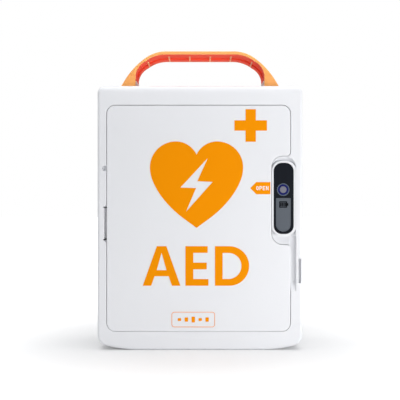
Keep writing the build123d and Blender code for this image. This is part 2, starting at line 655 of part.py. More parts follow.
with BuildPart() as hinge_arm:
    arm_left = HINGE_X - ARM_HALF_T
    with BuildSketch(Plane.XY.offset(HINGE_LOW + 1.0)):
        with Locations((HINGE_X, HINGE_Y)):
            Circle(KNUCKLE_R)
        with Locations((HINGE_X, (HINGE_Y + ARM_BACK) / 2)):
            Rectangle(2 * ARM_HALF_T, ARM_BACK - HINGE_Y)
        with Locations(((arm_left + ARM_RIGHT) / 2, (LID_BACK + ARM_BACK) / 2)):
            Rectangle(ARM_RIGHT - arm_left, ARM_BACK - LID_BACK)
    extrude(amount=HINGE_HIGH - HINGE_LOW - 1.6)
    with Locations((HINGE_X, HINGE_Y, HINGE_Z)):
        Cylinder(PIN_R + 0.05, 60.0, mode=Mode.SUBTRACT)
    for z in ARM_SCREW_Z:
        add(panel(disc((ARM_SCREW_X, z), SCREW_R + 0.1), LID_BACK - 1.0, ARM_BACK + 1.0), mode=Mode.SUBTRACT)
        head_seat = disc((ARM_SCREW_X, z), SCREW_HEAD_R + 0.1)
        add(panel(head_seat, HEAD_SEAT_Y, ARM_BACK + 1.0), mode=Mode.SUBTRACT)
finish(hinge_arm.part, "hinge_arm")

with BuildPart() as hinge_arm_screws:
    for z in ARM_SCREW_Z:
        add(panel(disc((ARM_SCREW_X, z), SCREW_R), LID_BACK, HEAD_SEAT_Y))
        add(panel(disc((ARM_SCREW_X, z), SCREW_HEAD_R), HEAD_SEAT_Y, ARM_BACK - 0.1))
        with BuildSketch(front_plane(ARM_BACK)):
            with Locations((ARM_SCREW_X, z)):
                Rectangle(4.0, 0.8)
                Rectangle(0.8, 4.0)
        extrude(amount=0.6, mode=Mode.SUBTRACT)
finish(hinge_arm_screws.part, "hinge_arm_screws")

with BuildPart() as hinge_pin:
    with Locations((HINGE_X, HINGE_Y, HINGE_Z)):
        Cylinder(PIN_R - 0.01, 55.6)
    chamfer(hinge_pin.edges(), 0.3)
finish(hinge_pin.part, "hinge_pin")

with BuildPart() as lid_catch:
    add(panel(rounded(CATCH, 1.0), LID_BACK, CATCH_TIP))
    chamfer(lid_catch.faces().sort_by(Axis.Y)[-1].edges(), 0.8)
finish(lid_catch.part, "lid_catch")

with BuildPart() as lid_magnet:
    add(panel(disc(MAGNET_AT, 4.0), LID_RIM_Y - 2.0, LID_RIM_Y))
finish(lid_magnet.part, "lid_magnet")

# ---------------------------------------------------------------- printed labels on the lid
HEART_X, HEART_TIP = -3.7, 130.9
BOLT_AT, BOLT_H = (-3.7, 177.0), 57.5
CROSS_AT, CROSS_SPAN, CROSS_ARM = (54.3, 240.6), 34.8, 11.0
LETTERS_LOW, LETTERS_HIGH = 69.0, 111.3
TAG_TIP, TAG_LEFT, TAG_RIGHT = 53.8, 60.3, 75.4
TAG_LOW, TAG_HIGH = 167.0, 180.0
LETTER_A_X, LETTER_E_X, LETTER_D_X = -61.3, -15.6, 16.0
BASE_LABEL = (-30.4, 16.0, 24.6, 40.9)
BASE_LABEL_R, BASE_LABEL_LINE = 3.0, 0.5
BAR_X, BAR_Z, BAR_PITCH, BAR_W = -22.0, 32.75, 7.4, 3.6
BAR_HEIGHTS = (3.0, 4.6, 6.2, 3.0, 4.6)
LABEL_T = LID_FRONT - FRONT_Y
with BuildPart() as heart_label:
    with BuildSketch(front_plane(LID_FRONT)):
        add(heart_outline(HEART_X, HEART_TIP))
        add(bolt_outline(BOLT_AT, BOLT_H), mode=Mode.SUBTRACT)
    extrude(amount=LABEL_T)
finish(heart_label.part, "heart_label")

with BuildPart() as cross_label:
    with BuildSketch(front_plane(LID_FRONT)):
        with Locations(CROSS_AT):
            Rectangle(CROSS_SPAN, CROSS_ARM)
            Rectangle(CROSS_ARM, CROSS_SPAN)
    extrude(amount=LABEL_T)
finish(cross_label.part, "cross_label")

with BuildPart() as letters_label:
    with BuildSketch(front_plane(LID_FRONT)):
        add(letter_a(LETTER_A_X, LETTERS_LOW, LETTERS_HIGH))
        add(letter_e(LETTER_E_X, LETTERS_LOW, LETTERS_HIGH))
        add(letter_d(LETTER_D_X, LETTERS_LOW, LETTERS_HIGH))
    extrude(amount=LABEL_T)
finish(letters_label.part, "letters_label")

with BuildPart() as open_tag:
    with BuildSketch(front_plane(LID_FRONT)):
        with BuildLine():
            Polyline((TAG_TIP, (TAG_LOW + TAG_HIGH) / 2), (TAG_LEFT, TAG_HIGH), (TAG_RIGHT, TAG_HIGH),
                     (TAG_RIGHT, TAG_LOW), (TAG_LEFT, TAG_LOW), close=True)
        make_face()
    extrude(amount=LABEL_T)
finish(open_tag.part, "open_tag")

with BuildPart() as base_label:
    with BuildSketch(front_plane(LID_FRONT)):
        add(rounded(BASE_LABEL, BASE_LABEL_R))
        add(rounded(BASE_LABEL, BASE_LABEL_R, -BASE_LABEL_LINE), mode=Mode.SUBTRACT)
        for step, height in enumerate(BAR_HEIGHTS):
            with Locations((BAR_X + BAR_PITCH * step, BAR_Z)):
                RectangleRounded(BAR_W, height, 0.7)
    extrude(amount=LABEL_T)
finish(base_label.part, "base_label")

# ---------------------------------------------------------------- status window
RING_AT = (89.2, 171.9)
RING_TRIM_R, RING_LIGHT_R, RING_LENS_R = 6.7, 5.8, 3.6
INSERT_BACK = -42.5
BEZEL_FRONT, INSERT_FRONT = -44.5, -44.3
INSERT_GAP = 0.05
WINDOW_GASKET_Y, WINDOW_GASKET_T = -41.7, 0.8
WINDOW_GASKET_IN, WINDOW_GASKET_W = 1.7, 1.5          # set in from the window's edge, width
STATUS_BOARD_Y, STATUS_BOARD_IN = -41.6, 1.8
STATUS_BOARD_X, STATUS_BOARD_HOLES, STATUS_BOARD_HOLE_R = 89.6, (131.0, 196.0), 1.2
with BuildPart() as status_bezel:
    add(panel(rounded(WINDOW, WINDOW_R, -INSERT_GAP), BEZEL_FRONT, INSERT_BACK))
    fillet(status_bezel.faces().sort_by(Axis.Y)[0].edges(), 0.5)
    add(panel(disc(RING_AT, RING_TRIM_R + INSERT_GAP), FRONT_Y, INSERT_BACK + 1.0), mode=Mode.SUBTRACT)
    add(panel(display_outline(INSERT_GAP), FRONT_Y, INSERT_BACK + 1.0), mode=Mode.SUBTRACT)
finish(status_bezel.part, "status_bezel")

with BuildPart() as ring_trim:
    add(panel(disc(RING_AT, RING_TRIM_R, RING_LIGHT_R), BEZEL_FRONT + INSERT_GAP, INSERT_BACK))
finish(ring_trim.part, "ring_trim")

with BuildPart() as ring_light:
    add(panel(disc(RING_AT, RING_LIGHT_R - INSERT_GAP, RING_LENS_R), INSERT_FRONT, INSERT_BACK))
finish(ring_light.part, "ring_light")

with BuildPart() as ring_lens:
    add(panel(disc(RING_AT, RING_LENS_R - INSERT_GAP), INSERT_FRONT - 0.1, INSERT_BACK))
    fillet(ring_lens.faces().sort_by(Axis.Y)[0].edges(), 0.4)
finish(ring_lens.part, "ring_lens")

with BuildPart() as status_display:
    add(panel(display_outline(0.0), INSERT_FRONT, INSERT_BACK))
finish(status_display.part, "status_display")

with BuildPart() as window_gasket:
    with BuildSketch(front_plane(WINDOW_GASKET_Y)):
        add(rounded(WINDOW, WINDOW_R, -WINDOW_GASKET_IN))
        add(rounded(WINDOW, WINDOW_R, -WINDOW_GASKET_IN - WINDOW_GASKET_W), mode=Mode.SUBTRACT)
    extrude(amount=WINDOW_GASKET_T)
finish(window_gasket.part, "window_gasket")

with BuildPart() as status_board:
    board_back = STATUS_BOARD_Y + BOARD_T
    add(panel(rounded(WINDOW, WINDOW_R, -STATUS_BOARD_IN), STATUS_BOARD_Y, board_back))
    for z in STATUS_BOARD_HOLES:
        hole = disc((STATUS_BOARD_X, z), STATUS_BOARD_HOLE_R)
        add(panel(hole, STATUS_BOARD_Y - 0.4, board_back + 1.0), mode=Mode.SUBTRACT)
finish(status_board.part, "status_board")

# ---------------------------------------------------------------- control panel under the lid
SOCKET_RIM, SOCKET_BODY_RIM = 2.0, 1.9                # round the socket: hole in the panel, its body
SELECTOR_SLOT = (18.0, 10.0)
LIGHTS_X, LIGHTS_Z, LIGHT_R, LIGHT_GAP = (-12.0, 0.0, 12.0), 125.0, 2.0, 0.1
GRILLE_HOLE_R = 1.5
PANEL_SCREW_R, PANEL_SCREW_HOLE_R, PANEL_HEAD_R, PANEL_HEAD_T = 1.5, 1.6, 2.8, 1.8
HEX_R, HEX_DEPTH = 1.3, 1.2
OVERLAY, OVERLAY_R, OVERLAY_T = (-90.0, 69.0, 32.0, 134.0), 5.0, 0.3
SHOCK_RING_IN, SHOCK_RING_OUT, SHOCK_RING_T = 1.0, 5.0, 1.2


def around(centre, size, rim=0.0):
    """Edges x, x, z, z of a rectangle about a centre, grown by a rim."""
    half_x, half_z = size[0] / 2 + rim, size[1] / 2 + rim
    return (centre[0] - half_x, centre[0] + half_x, centre[1] - half_z, centre[1] + half_z)


power_hole = disc(POWER_AT, POWER_R + BUTTON_GAP)
shock_hole = disc(SHOCK_AT, SHOCK_R + BUTTON_GAP)
info_hole = disc(INFO_AT, INFO_R + BUTTON_GAP)
socket_hole = rounded(around(SOCKET_AT, SOCKET_SIZE, SOCKET_RIM), 2.5)
selector_slot = rounded(around(SELECTOR_AT, SELECTOR_SLOT), 2.0)
light_holes = [(x, LIGHTS_Z) for x in LIGHTS_X]
panel_screw_at = [(x, z) for x in (-93.0, 86.0) for z in (46.0, 100.0)]
panel_screw_at += [(0.0, 29.0), (-60.0, 256.0), (60.0, 256.0)]

with BuildPart() as control_panel:
    add(panel(lid_outline(LID_GAP - 3.0), DECK_FRONT, DECK_BACK))
    add(panel(rounded(TRAY, 6.0, 2.0), DECK_FRONT, TRAY_FLOOR + 2.0))
    add(panel(rounded(TRAY, 6.0), DECK_FRONT - 1.0, TRAY_FLOOR), mode=Mode.SUBTRACT)
    for hole in (power_hole, shock_hole, info_hole, socket_hole, selector_slot):
        add(panel(hole, DECK_FRONT - 1.0, DECK_BACK + 1.0), mode=Mode.SUBTRACT)
    for centre in light_holes:
        light_hole = disc(centre, LIGHT_R + LIGHT_GAP)
        add(panel(light_hole, DECK_FRONT - 1.0, DECK_BACK + 1.0), mode=Mode.SUBTRACT)
    # the lid's snap tongue drops into a slot
    add(panel(rounded(CATCH, 2.0, 1.0), DECK_FRONT - 1.0, DECK_BACK + 1.0), mode=Mode.SUBTRACT)
    # speaker grille: holes on three rings round a middle one
    grille = [SPEAKER_AT]
    for ring in (1, 2, 3):
        reach = GRILLE_PITCH * ring
        for step in range(6 * ring):
            angle = math.radians(60.0 / ring * step)
            grille.append((SPEAKER_AT[0] + reach * math.cos(angle), SPEAKER_AT[1] + reach * math.sin(angle)))
    with BuildSketch(front_plane(DECK_BACK + 1.0)):
        with Locations(*grille):
            Circle(GRILLE_HOLE_R)
    extrude(amount=DECK_T + 2.0, mode=Mode.SUBTRACT)
    with BuildSketch(front_plane(DECK_BACK + 1.0)):
        with Locations(*panel_screw_at):
            Circle(PANEL_SCREW_HOLE_R)
    extrude(amount=DECK_T + 2.0, mode=Mode.SUBTRACT)
finish(control_panel.part, "control_panel")

with BuildPart() as panel_overlay:
    with BuildSketch(front_plane(DECK_FRONT)):
        add(rounded(OVERLAY, OVERLAY_R))
        for hole in (power_hole, info_hole, socket_hole, selector_slot):
            add(hole, mode=Mode.SUBTRACT)
        add(disc(SHOCK_AT, SHOCK_R + SHOCK_RING_OUT + 0.5), mode=Mode.SUBTRACT)
        add(disc(SPEAKER_AT, SPEAKER_R - 1.0), mode=Mode.SUBTRACT)
        for centre in light_holes:
            add(disc(centre, LIGHT_R + LIGHT_GAP), mode=Mode.SUBTRACT)
    extrude(amount=OVERLAY_T)
finish(panel_overlay.part, "panel_overlay")

with BuildPart() as panel_screws:
    for centre in panel_screw_at:
        add(panel(disc(centre, PANEL_SCREW_R), DECK_FRONT, DECK_BACK))
        add(panel(disc(centre, PANEL_HEAD_R), DECK_BACK, DECK_BACK + PANEL_HEAD_T))
        with BuildSketch(front_plane(DECK_BACK + PANEL_HEAD_T + 0.1)):
            with Locations(centre):
                RegularPolygon(HEX_R, 6)
        extrude(amount=HEX_DEPTH, mode=Mode.SUBTRACT)
finish(panel_screws.part, "panel_screws")

with BuildPart() as shock_ring:
    ring = disc(SHOCK_AT, SHOCK_R + SHOCK_RING_OUT, SHOCK_R + SHOCK_RING_IN)
    add(panel(ring, DECK_FRONT - SHOCK_RING_T, DECK_FRONT))
    fillet(shock_ring.faces().filter_by(Axis.Y).sort_by(Axis.Y)[0].edges(), 0.5)
finish(shock_ring.part, "shock_ring")

with BuildPart() as status_lights:
    for centre in light_holes:
        add(panel(disc(centre, LIGHT_R), DECK_FRONT - 0.9, DECK_BACK))
finish(status_lights.part, "status_lights")


FLANGE_PLAY, FLANGE_T, FLANGE_W = 0.2, 1.2, 1.4
STEM_R, STEM_L = 3.0, 1.0
CAP_ROUND = 0.8


def push_button(centre, radius):
    """Button cap with a retaining flange behind the panel and a stem for its switch."""
    flange_front = DECK_BACK + FLANGE_PLAY
    flange_back = flange_front + FLANGE_T
    with BuildPart() as button:
        add(panel(disc(centre, radius), BUTTON_FRONT, flange_front))
        fillet(button.faces().sort_by(Axis.Y)[0].edges(), CAP_ROUND)
        add(panel(disc(centre, radius + FLANGE_W), flange_front, flange_back))
        add(panel(disc(centre, STEM_R), flange_back, flange_back + STEM_L))
    return button.part


finish(push_button(POWER_AT, POWER_R), "power_button")
finish(push_button(SHOCK_AT, SHOCK_R), "shock_button")
finish(push_button(INFO_AT, INFO_R), "info_button")

KNOB = (9.2, 9.2)
GROOVE, GROOVE_PITCH, GROOVE_DEPTH = (1.0, 8.0), 2.4, 0.7
KNOB_FLANGE = (11.6, 12.0)
KNOB_FLANGE_T, KNOB_PLAY = 1.5, 0.3
with BuildPart() as patient_selector:
    knob_x = SELECTOR_AT[0] - SELECTOR_TRAVEL / 2
    knob_at = (knob_x, SELECTOR_AT[1])
    flange_front = DECK_BACK + KNOB_PLAY
    add(panel(rounded(around(knob_at, KNOB), 1.5), BUTTON_FRONT, flange_front))
    for step in (-1, 0, 1):
        groove = around((knob_x + GROOVE_PITCH * step, SELECTOR_AT[1]), GROOVE)
        add(panel(rounded(groove, 0.4), BUTTON_FRONT - 1.0, BUTTON_FRONT + GROOVE_DEPTH), mode=Mode.SUBTRACT)
    add(panel(rounded(around(knob_at, KNOB_FLANGE), 2.0), flange_front, flange_front + KNOB_FLANGE_T))
finish(patient_selector.part, "patient_selector")

with BuildPart() as pads_socket:
    body = rounded(around(SOCKET_AT, SOCKET_SIZE, SOCKET_BODY_RIM), 2.4)
    add(panel(body, DECK_FRONT - 0.8, DECK_FRONT + SOCKET_DEPTH - 4.0))
    mouth = rounded(around(SOCKET_AT, SOCKET_SIZE), 1.6)
    add(panel(mouth, DECK_FRONT - 2.0, DECK_FRONT + SOCKET_DEPTH - 6.0), mode=Mode.SUBTRACT)
finish(pads_socket.part, "pads_socket")

POUCH, POUCH_R = (-83.0, 55.0, 146.0, 244.0), 4.0
POUCH_FRONT, POUCH_BACK = -31.0, -17.0
with BuildPart() as pads_pouch:
    add(panel(rounded(POUCH, POUCH_R), POUCH_FRONT, POUCH_BACK))
    fillet(pads_pouch.edges().filter_by(lambda e: abs(e.center().Y - POUCH_FRONT) < 0.1), 3.0)
finish(pads_pouch.part, "pads_pouch")

# ---------------------------------------------------------------- electronics
KEY_BOARD = (-88.0, 88.0, 32.0, 128.0)
POWER_BOARD, POWER_BOARD_Y = (-88.0, 44.0, 32.0, 126.0), -12.4
MAIN_BOARD = (-88.0, 88.0, 132.0, 268.0)
SWITCH, SWITCH_T, SWITCH_STEM_R, SWITCH_STEM_L = (6.0, 6.0), 1.8, 1.7, 0.6
REED_R, REED_L, REED_LEAD_R, REED_LEADS = 1.4, 9.0, 0.4, 13.0
FRAME_RIM_T, FRAME_WALL, FRAME_BACK, FRAME_BACK_R = 3.0, 2.0, 9.0, 11.0
CONE_FRONT, CONE_BACK, CONE_T, CONE_BACK_R = 1.5, 7.0, 0.8, 7.0
MAGNET_R, MAGNET_T = 12.5, 6.0
SINK = (-60.0, -16.0, 66.0, 100.0)
SINK_T, FIN_COUNT, FIN_PITCH, FIN_T, FIN_H = 2.0, 8, 6.0, 1.2, 6.1
CHIPS = ((-10, 170, 16, 1.6), (14, 172, 12, 1.6), (-34, 160, 9, 1.2),
         (40, 152, 14, 1.8), (62, 166, 8, 1.2))     # x, z, side, height
CONNECTORS_X, CONNECTOR_Z = (-70.0, -46.0, -22.0), 139.5
CONNECTOR, CONNECTOR_MOUTH, CONNECTOR_T, CONNECTOR_FLOOR = (18.0, 7.0), (15.2, 4.2), 7.0, 1.5
HOLDER_R, HOLDER_IN_R, HOLDER_T, HOLDER_FLOOR = 12.0, 10.2, 4.6, 1.0
CAPACITOR_R, CAPACITOR_L, CAPACITOR_X, CAPACITOR_Z = 17.5, 62.0, -76.0, 238.0
CORE = (18.0, 60.0, 216.0, 254.0)
CORE_LEG, CORE_WINDOW, CORE_BAR = 6.0, 9.0, 7.0     # outer leg, each window's width, bar above and below
CORE_FRONT, CORE_BACK = 4.0, 32.0
WINDING_GAP, WINDING_RISE = 0.1, 3.6
speaker_room = disc(SPEAKER_AT, SPEAKER_R + 2.0)
with BuildPart() as key_board:
    with BuildSketch(front_plane(KEY_BOARD_Y + BOARD_T)):
        add(rounded(KEY_BOARD, 2.0))
        add(speaker_room, mode=Mode.SUBTRACT)
        add(socket_hole, mode=Mode.SUBTRACT)
    extrude(amount=BOARD_T)
finish(key_board.part, "key_board")

with BuildPart() as push_switches:
    switch_front = KEY_BOARD_Y - SWITCH_T
    for centre in (POWER_AT, SHOCK_AT, INFO_AT):
        add(panel(rounded(around(centre, SWITCH), 0.4), switch_front, KEY_BOARD_Y))
        add(panel(disc(centre, SWITCH_STEM_R), switch_front - SWITCH_STEM_L, switch_front))
finish(push_switches.part, "push_switches")

with BuildPart() as reed_switch:
    with Locations((MAGNET_AT[0], KEY_BOARD_Y - REED_R - 0.2, MAGNET_AT[1] + 2.0)):
        Cylinder(REED_R, REED_L)
        Cylinder(REED_LEAD_R, REED_LEADS)
    rims = reed_switch.edges().filter_by(GeomType.CIRCLE)
    fillet(rims.filter_by(lambda rim: abs(rim.radius - REED_R) < 0.1), 0.8)
finish(reed_switch.part, "reed_switch")

with BuildPart() as speaker_frame:
    rim = disc(SPEAKER_AT, SPEAKER_R, SPEAKER_R - FRAME_WALL)
    add(panel(rim, DECK_BACK, DECK_BACK + FRAME_RIM_T))
    with BuildSketch(front_plane(DECK_BACK + FRAME_RIM_T)):
        add(rim)
    with BuildSketch(front_plane(DECK_BACK + FRAME_BACK)):
        add(disc(SPEAKER_AT, FRAME_BACK_R, FRAME_BACK_R - FRAME_WALL))
    loft()
finish(speaker_frame.part, "speaker_frame")

with BuildPart() as speaker_cone:
    cone_r = SPEAKER_R - FRAME_WALL - 0.2
    with BuildSketch(front_plane(DECK_BACK + CONE_FRONT)):
        add(disc(SPEAKER_AT, cone_r, cone_r - CONE_T))
    with BuildSketch(front_plane(DECK_BACK + CONE_BACK)):
        add(disc(SPEAKER_AT, CONE_BACK_R, CONE_BACK_R - CONE_T))
    loft()
    add(panel(disc(SPEAKER_AT, CONE_BACK_R), DECK_BACK + CONE_BACK - CONE_T, DECK_BACK + CONE_BACK))
finish(speaker_cone.part, "speaker_cone")

with BuildPart() as speaker_magnet:
    magnet_front = DECK_BACK + FRAME_BACK
    add(panel(disc(SPEAKER_AT, MAGNET_R), magnet_front, magnet_front + MAGNET_T))
    chamfer(speaker_magnet.edges(), 0.5)
finish(speaker_magnet.part, "speaker_magnet")

with BuildPart() as power_board:
    add(panel(rounded(POWER_BOARD, 2.0), POWER_BOARD_Y, POWER_BOARD_Y + BOARD_T))
finish(power_board.part, "power_board")

with BuildPart() as heat_sink:
    sink_front = POWER_BOARD_Y - SINK_T
    add(block(SINK, sink_front, POWER_BOARD_Y))
    for fin in range(FIN_COUNT):
        fin_left = SINK[0] + 0.4 + FIN_PITCH * fin
        add(block((fin_left, fin_left + FIN_T, SINK[2], SINK[3]), sink_front - FIN_H, sink_front))
finish(heat_sink.part, "heat_sink")

with BuildPart() as main_board:
    add(panel(rounded(MAIN_BOARD, 3.0), MAIN_BOARD_Y, MAIN_BOARD_Y + BOARD_T))
finish(main_board.part, "main_board")

board_rear = MAIN_BOARD_Y + BOARD_T
with BuildPart() as board_chips:
    for x, z, side, tall in CHIPS:
        add(panel(rounded(around((x, z), (side, side)), 0.5), board_rear, board_rear + tall))
finish(board_chips.part, "board_chips")

with BuildPart() as board_connectors:
    connector_back = board_rear + CONNECTOR_T
    for x in CONNECTORS_X:
        mouth = around((x, CONNECTOR_Z), CONNECTOR_MOUTH)
        add(block(around((x, CONNECTOR_Z), CONNECTOR), board_rear, connector_back))
        add(block(mouth, board_rear + CONNECTOR_FLOOR, connector_back + 1.0), mode=Mode.SUBTRACT)
    # round holder of the coin cell
    holder_back = board_rear + HOLDER_T
    add(panel(disc(COIN_AT, HOLDER_R), board_rear, holder_back))
    add(panel(disc(COIN_AT, HOLDER_IN_R), board_rear + HOLDER_FLOOR, holder_back + 1.0), mode=Mode.SUBTRACT)
finish(board_connectors.part, "board_connectors")

with BuildPart() as storage_capacitor:
    with BuildSketch(Plane.YZ.offset(CAPACITOR_X)):
        with Locations((board_rear + CAPACITOR_R + 0.1, CAPACITOR_Z)):
            Circle(CAPACITOR_R)
    extrude(amount=CAPACITOR_L)
    chamfer(storage_capacitor.edges(), 1.2)
finish(storage_capacitor.part, "storage_capacitor")

with BuildPart() as transformer_core:
    add(block(CORE, board_rear + CORE_FRONT, board_rear + CORE_BACK))
    window_low, window_high = CORE[2] + CORE_BAR, CORE[3] - CORE_BAR
    for left in (CORE[0] + CORE_LEG, CORE[1] - CORE_LEG - CORE_WINDOW):
        window = (left, left + CORE_WINDOW, window_low, window_high)
        add(block(window, board_rear, board_rear + CORE_BACK + 1.0), mode=Mode.SUBTRACT)
finish(transformer_core.part, "transformer_core")

with BuildPart() as transformer_winding:
    coil_edge = CORE_LEG + 2 * WINDING_GAP
    coil = (CORE[0] + coil_edge, CORE[1] - coil_edge,
            window_low + 2 * WINDING_GAP, window_high - 2 * WINDING_GAP)
    add(block(coil, board_rear, board_rear + CORE_BACK + WINDING_RISE))
    leg_edge = CORE_LEG + CORE_WINDOW - WINDING_GAP
    leg = (CORE[0] + leg_edge, CORE[1] - leg_edge, CORE[2], CORE[3])
    leg_front, leg_back = CORE_FRONT - WINDING_GAP, CORE_BACK + WINDING_GAP
    add(block(leg, board_rear + leg_front, board_rear + leg_back), mode=Mode.SUBTRACT)
finish(transformer_winding.part, "transformer_winding")

RELAY, RELAY_T = (-2.0, 14.0, 188.0, 210.0), 15.0
with BuildPart() as discharge_relay:
    add(panel(rounded(RELAY, 1.0), board_rear, board_rear + RELAY_T))
    chamfer(discharge_relay.faces().sort_by(Axis.Y)[-1].edges(), 0.6)
finish(discharge_relay.part, "discharge_relay")

COIN_R, COIN_T = 10.0, 3.2
with BuildPart() as coin_cell:
    coin_front = board_rear + HOLDER_FLOOR
    add(panel(disc(COIN_AT, COIN_R), coin_front, coin_front + COIN_T))
    chamfer(coin_cell.edges(), 0.3)
finish(coin_cell.part, "coin_cell")

# ---------------------------------------------------------------- battery pack
BATTERY = (BAY[0] + BATTERY_GAP, BAY[1] - BATTERY_GAP, BAY[2] + BATTERY_GAP, BAY[3] - BATTERY_GAP)
LATCH = (-14.0, 14.0, 98.0, 107.0)
LATCH_TRAVEL, LATCH_GAP = 3.0, 0.4
PACK_R, PACK_WALL = 2.6, 1.8
PACK_BACK, COVER_FLOOR = 40.6, 41.0
CELL_COUNT, CELL_PITCH, CELL_R, CELL_L, CELL_Y = 6, 18.0, 8.4, 34.0, 20.0
CELL_ROWS_Z = (32.0, 68.0)
COVER_GROOVE, COVER_GROOVE_Z, COVER_GROOVE_COUNT = (60.0, 2.4), 41.2, 6
COVER_GROOVE_PITCH, GROOVE_CUT = 6.0, 0.8
LATCH_GROOVE, LATCH_GROOVE_COUNT, LATCH_GROOVE_PITCH = (18.0, 1.0), 3, 2.2
CONTACT_BLOCK = (-19.5, 19.5, BAY[2] + 8.5, BAY[2] + 19.5)
CONTACTS_X, CONTACT_Z, CONTACT, CONTACT_T = (-14.0, -7.0, 7.0, 14.0), BAY[2] + 14.0, (2.4, 8.0), 0.5
CONTACT_BLOCK_T = 2.1
with BuildPart() as battery_case:
    pack_front = BAY_FRONT + BATTERY_GAP
    add(panel(rounded(BATTERY, PACK_R), pack_front, PACK_BACK))
    add(panel(rounded(BATTERY, PACK_R, -PACK_WALL), pack_front + PACK_WALL, PACK_BACK + 1.0), mode=Mode.SUBTRACT)
finish(battery_case.part, "battery_case")

with BuildPart() as battery_cells:
    for z in CELL_ROWS_Z:
        with BuildSketch(Plane.XY.offset(z)):
            with Locations((0, CELL_Y)):
                with GridLocations(CELL_PITCH, 0, CELL_COUNT, 1):
                    Circle(CELL_R)
        extrude(amount=CELL_L)
finish(battery_cells.part, "battery_cells")

with BuildPart() as battery_cover:
    cover_back = BACK_Y - 0.1
    add(panel(rounded(BATTERY, PACK_R), PACK_BACK, cover_back))
    latch_room = (LATCH[0] - LATCH_GAP, LATCH[1] + LATCH_GAP,
                  LATCH[2] - LATCH_TRAVEL - LATCH_GAP, LATCH[3] + LATCH_GAP)
    add(panel(rounded(latch_room, 1.4), COVER_FLOOR, BACK_Y + 1.0), mode=Mode.SUBTRACT)
    for row in range(COVER_GROOVE_COUNT):
        groove = around((0.0, COVER_GROOVE_Z + COVER_GROOVE_PITCH * row), COVER_GROOVE)
        add(panel(rounded(groove, 1.1), cover_back - GROOVE_CUT, BACK_Y + 1.0), mode=Mode.SUBTRACT)
finish(battery_cover.part, "battery_cover")

with BuildPart() as battery_latch:
    add(panel(rounded(LATCH, 1.2), COVER_FLOOR + 0.1, BACK_Y - 0.2))
    for row in range(LATCH_GROOVE_COUNT):
        groove = around((0.0, LATCH[2] + 2.5 + LATCH_GROOVE_PITCH * row), LATCH_GROOVE)
        add(panel(rounded(groove, 0.4), BACK_Y - GROOVE_CUT, BACK_Y + 1.0), mode=Mode.SUBTRACT)
finish(battery_latch.part, "battery_latch")

with BuildPart() as battery_contacts:
    block_back = BAY_FRONT - CONTACT_T
    add(block(CONTACT_BLOCK, block_back - CONTACT_BLOCK_T, block_back))
    for x in CONTACTS_X:
        add(panel(rounded(around((x, CONTACT_Z), CONTACT), 0.6), block_back, BAY_FRONT))
finish(battery_contacts.part, "battery_contacts")
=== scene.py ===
import math

import bmesh
import bpy
from mathutils import Matrix, Vector, noise


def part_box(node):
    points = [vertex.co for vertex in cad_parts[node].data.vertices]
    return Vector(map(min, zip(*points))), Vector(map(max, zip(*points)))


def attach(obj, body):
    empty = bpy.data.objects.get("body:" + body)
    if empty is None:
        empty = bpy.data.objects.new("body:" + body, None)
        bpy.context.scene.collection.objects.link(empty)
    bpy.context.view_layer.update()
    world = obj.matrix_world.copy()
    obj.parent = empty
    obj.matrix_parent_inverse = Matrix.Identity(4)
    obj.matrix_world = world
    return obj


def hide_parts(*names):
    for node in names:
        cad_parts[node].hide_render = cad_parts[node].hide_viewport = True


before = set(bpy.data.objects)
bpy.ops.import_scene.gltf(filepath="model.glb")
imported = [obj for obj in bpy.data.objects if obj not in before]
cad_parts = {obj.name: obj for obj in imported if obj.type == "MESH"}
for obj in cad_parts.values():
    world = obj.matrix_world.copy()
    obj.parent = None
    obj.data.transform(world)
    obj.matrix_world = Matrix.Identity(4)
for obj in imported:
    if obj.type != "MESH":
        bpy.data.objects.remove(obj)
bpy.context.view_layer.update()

# Looks of an automated external defibrillator. The CAD frame gives every place, in metres:
# +X to the right seen from the front, the front faces -Y, +Z up.

MM = 0.001
INK = 0.05                    # thickness of a printed layer, mm


# ---------------------------------------------------------------- small helpers
def linear(red, green, blue):
    """Scene-linear colour from an sRGB colour of 0 to 255."""
    values = []
    for part in (red, green, blue):
        share = part / 255
        values.append(share / 12.92 if share <= 0.04045 else ((share + 0.055) / 1.055) ** 2.4)
    return (*values, 1.0)


def shade(colour, factor):
    """A colour made lighter or darker."""
    return tuple(min(1.0, part * factor) for part in colour[:3]) + (1.0,)


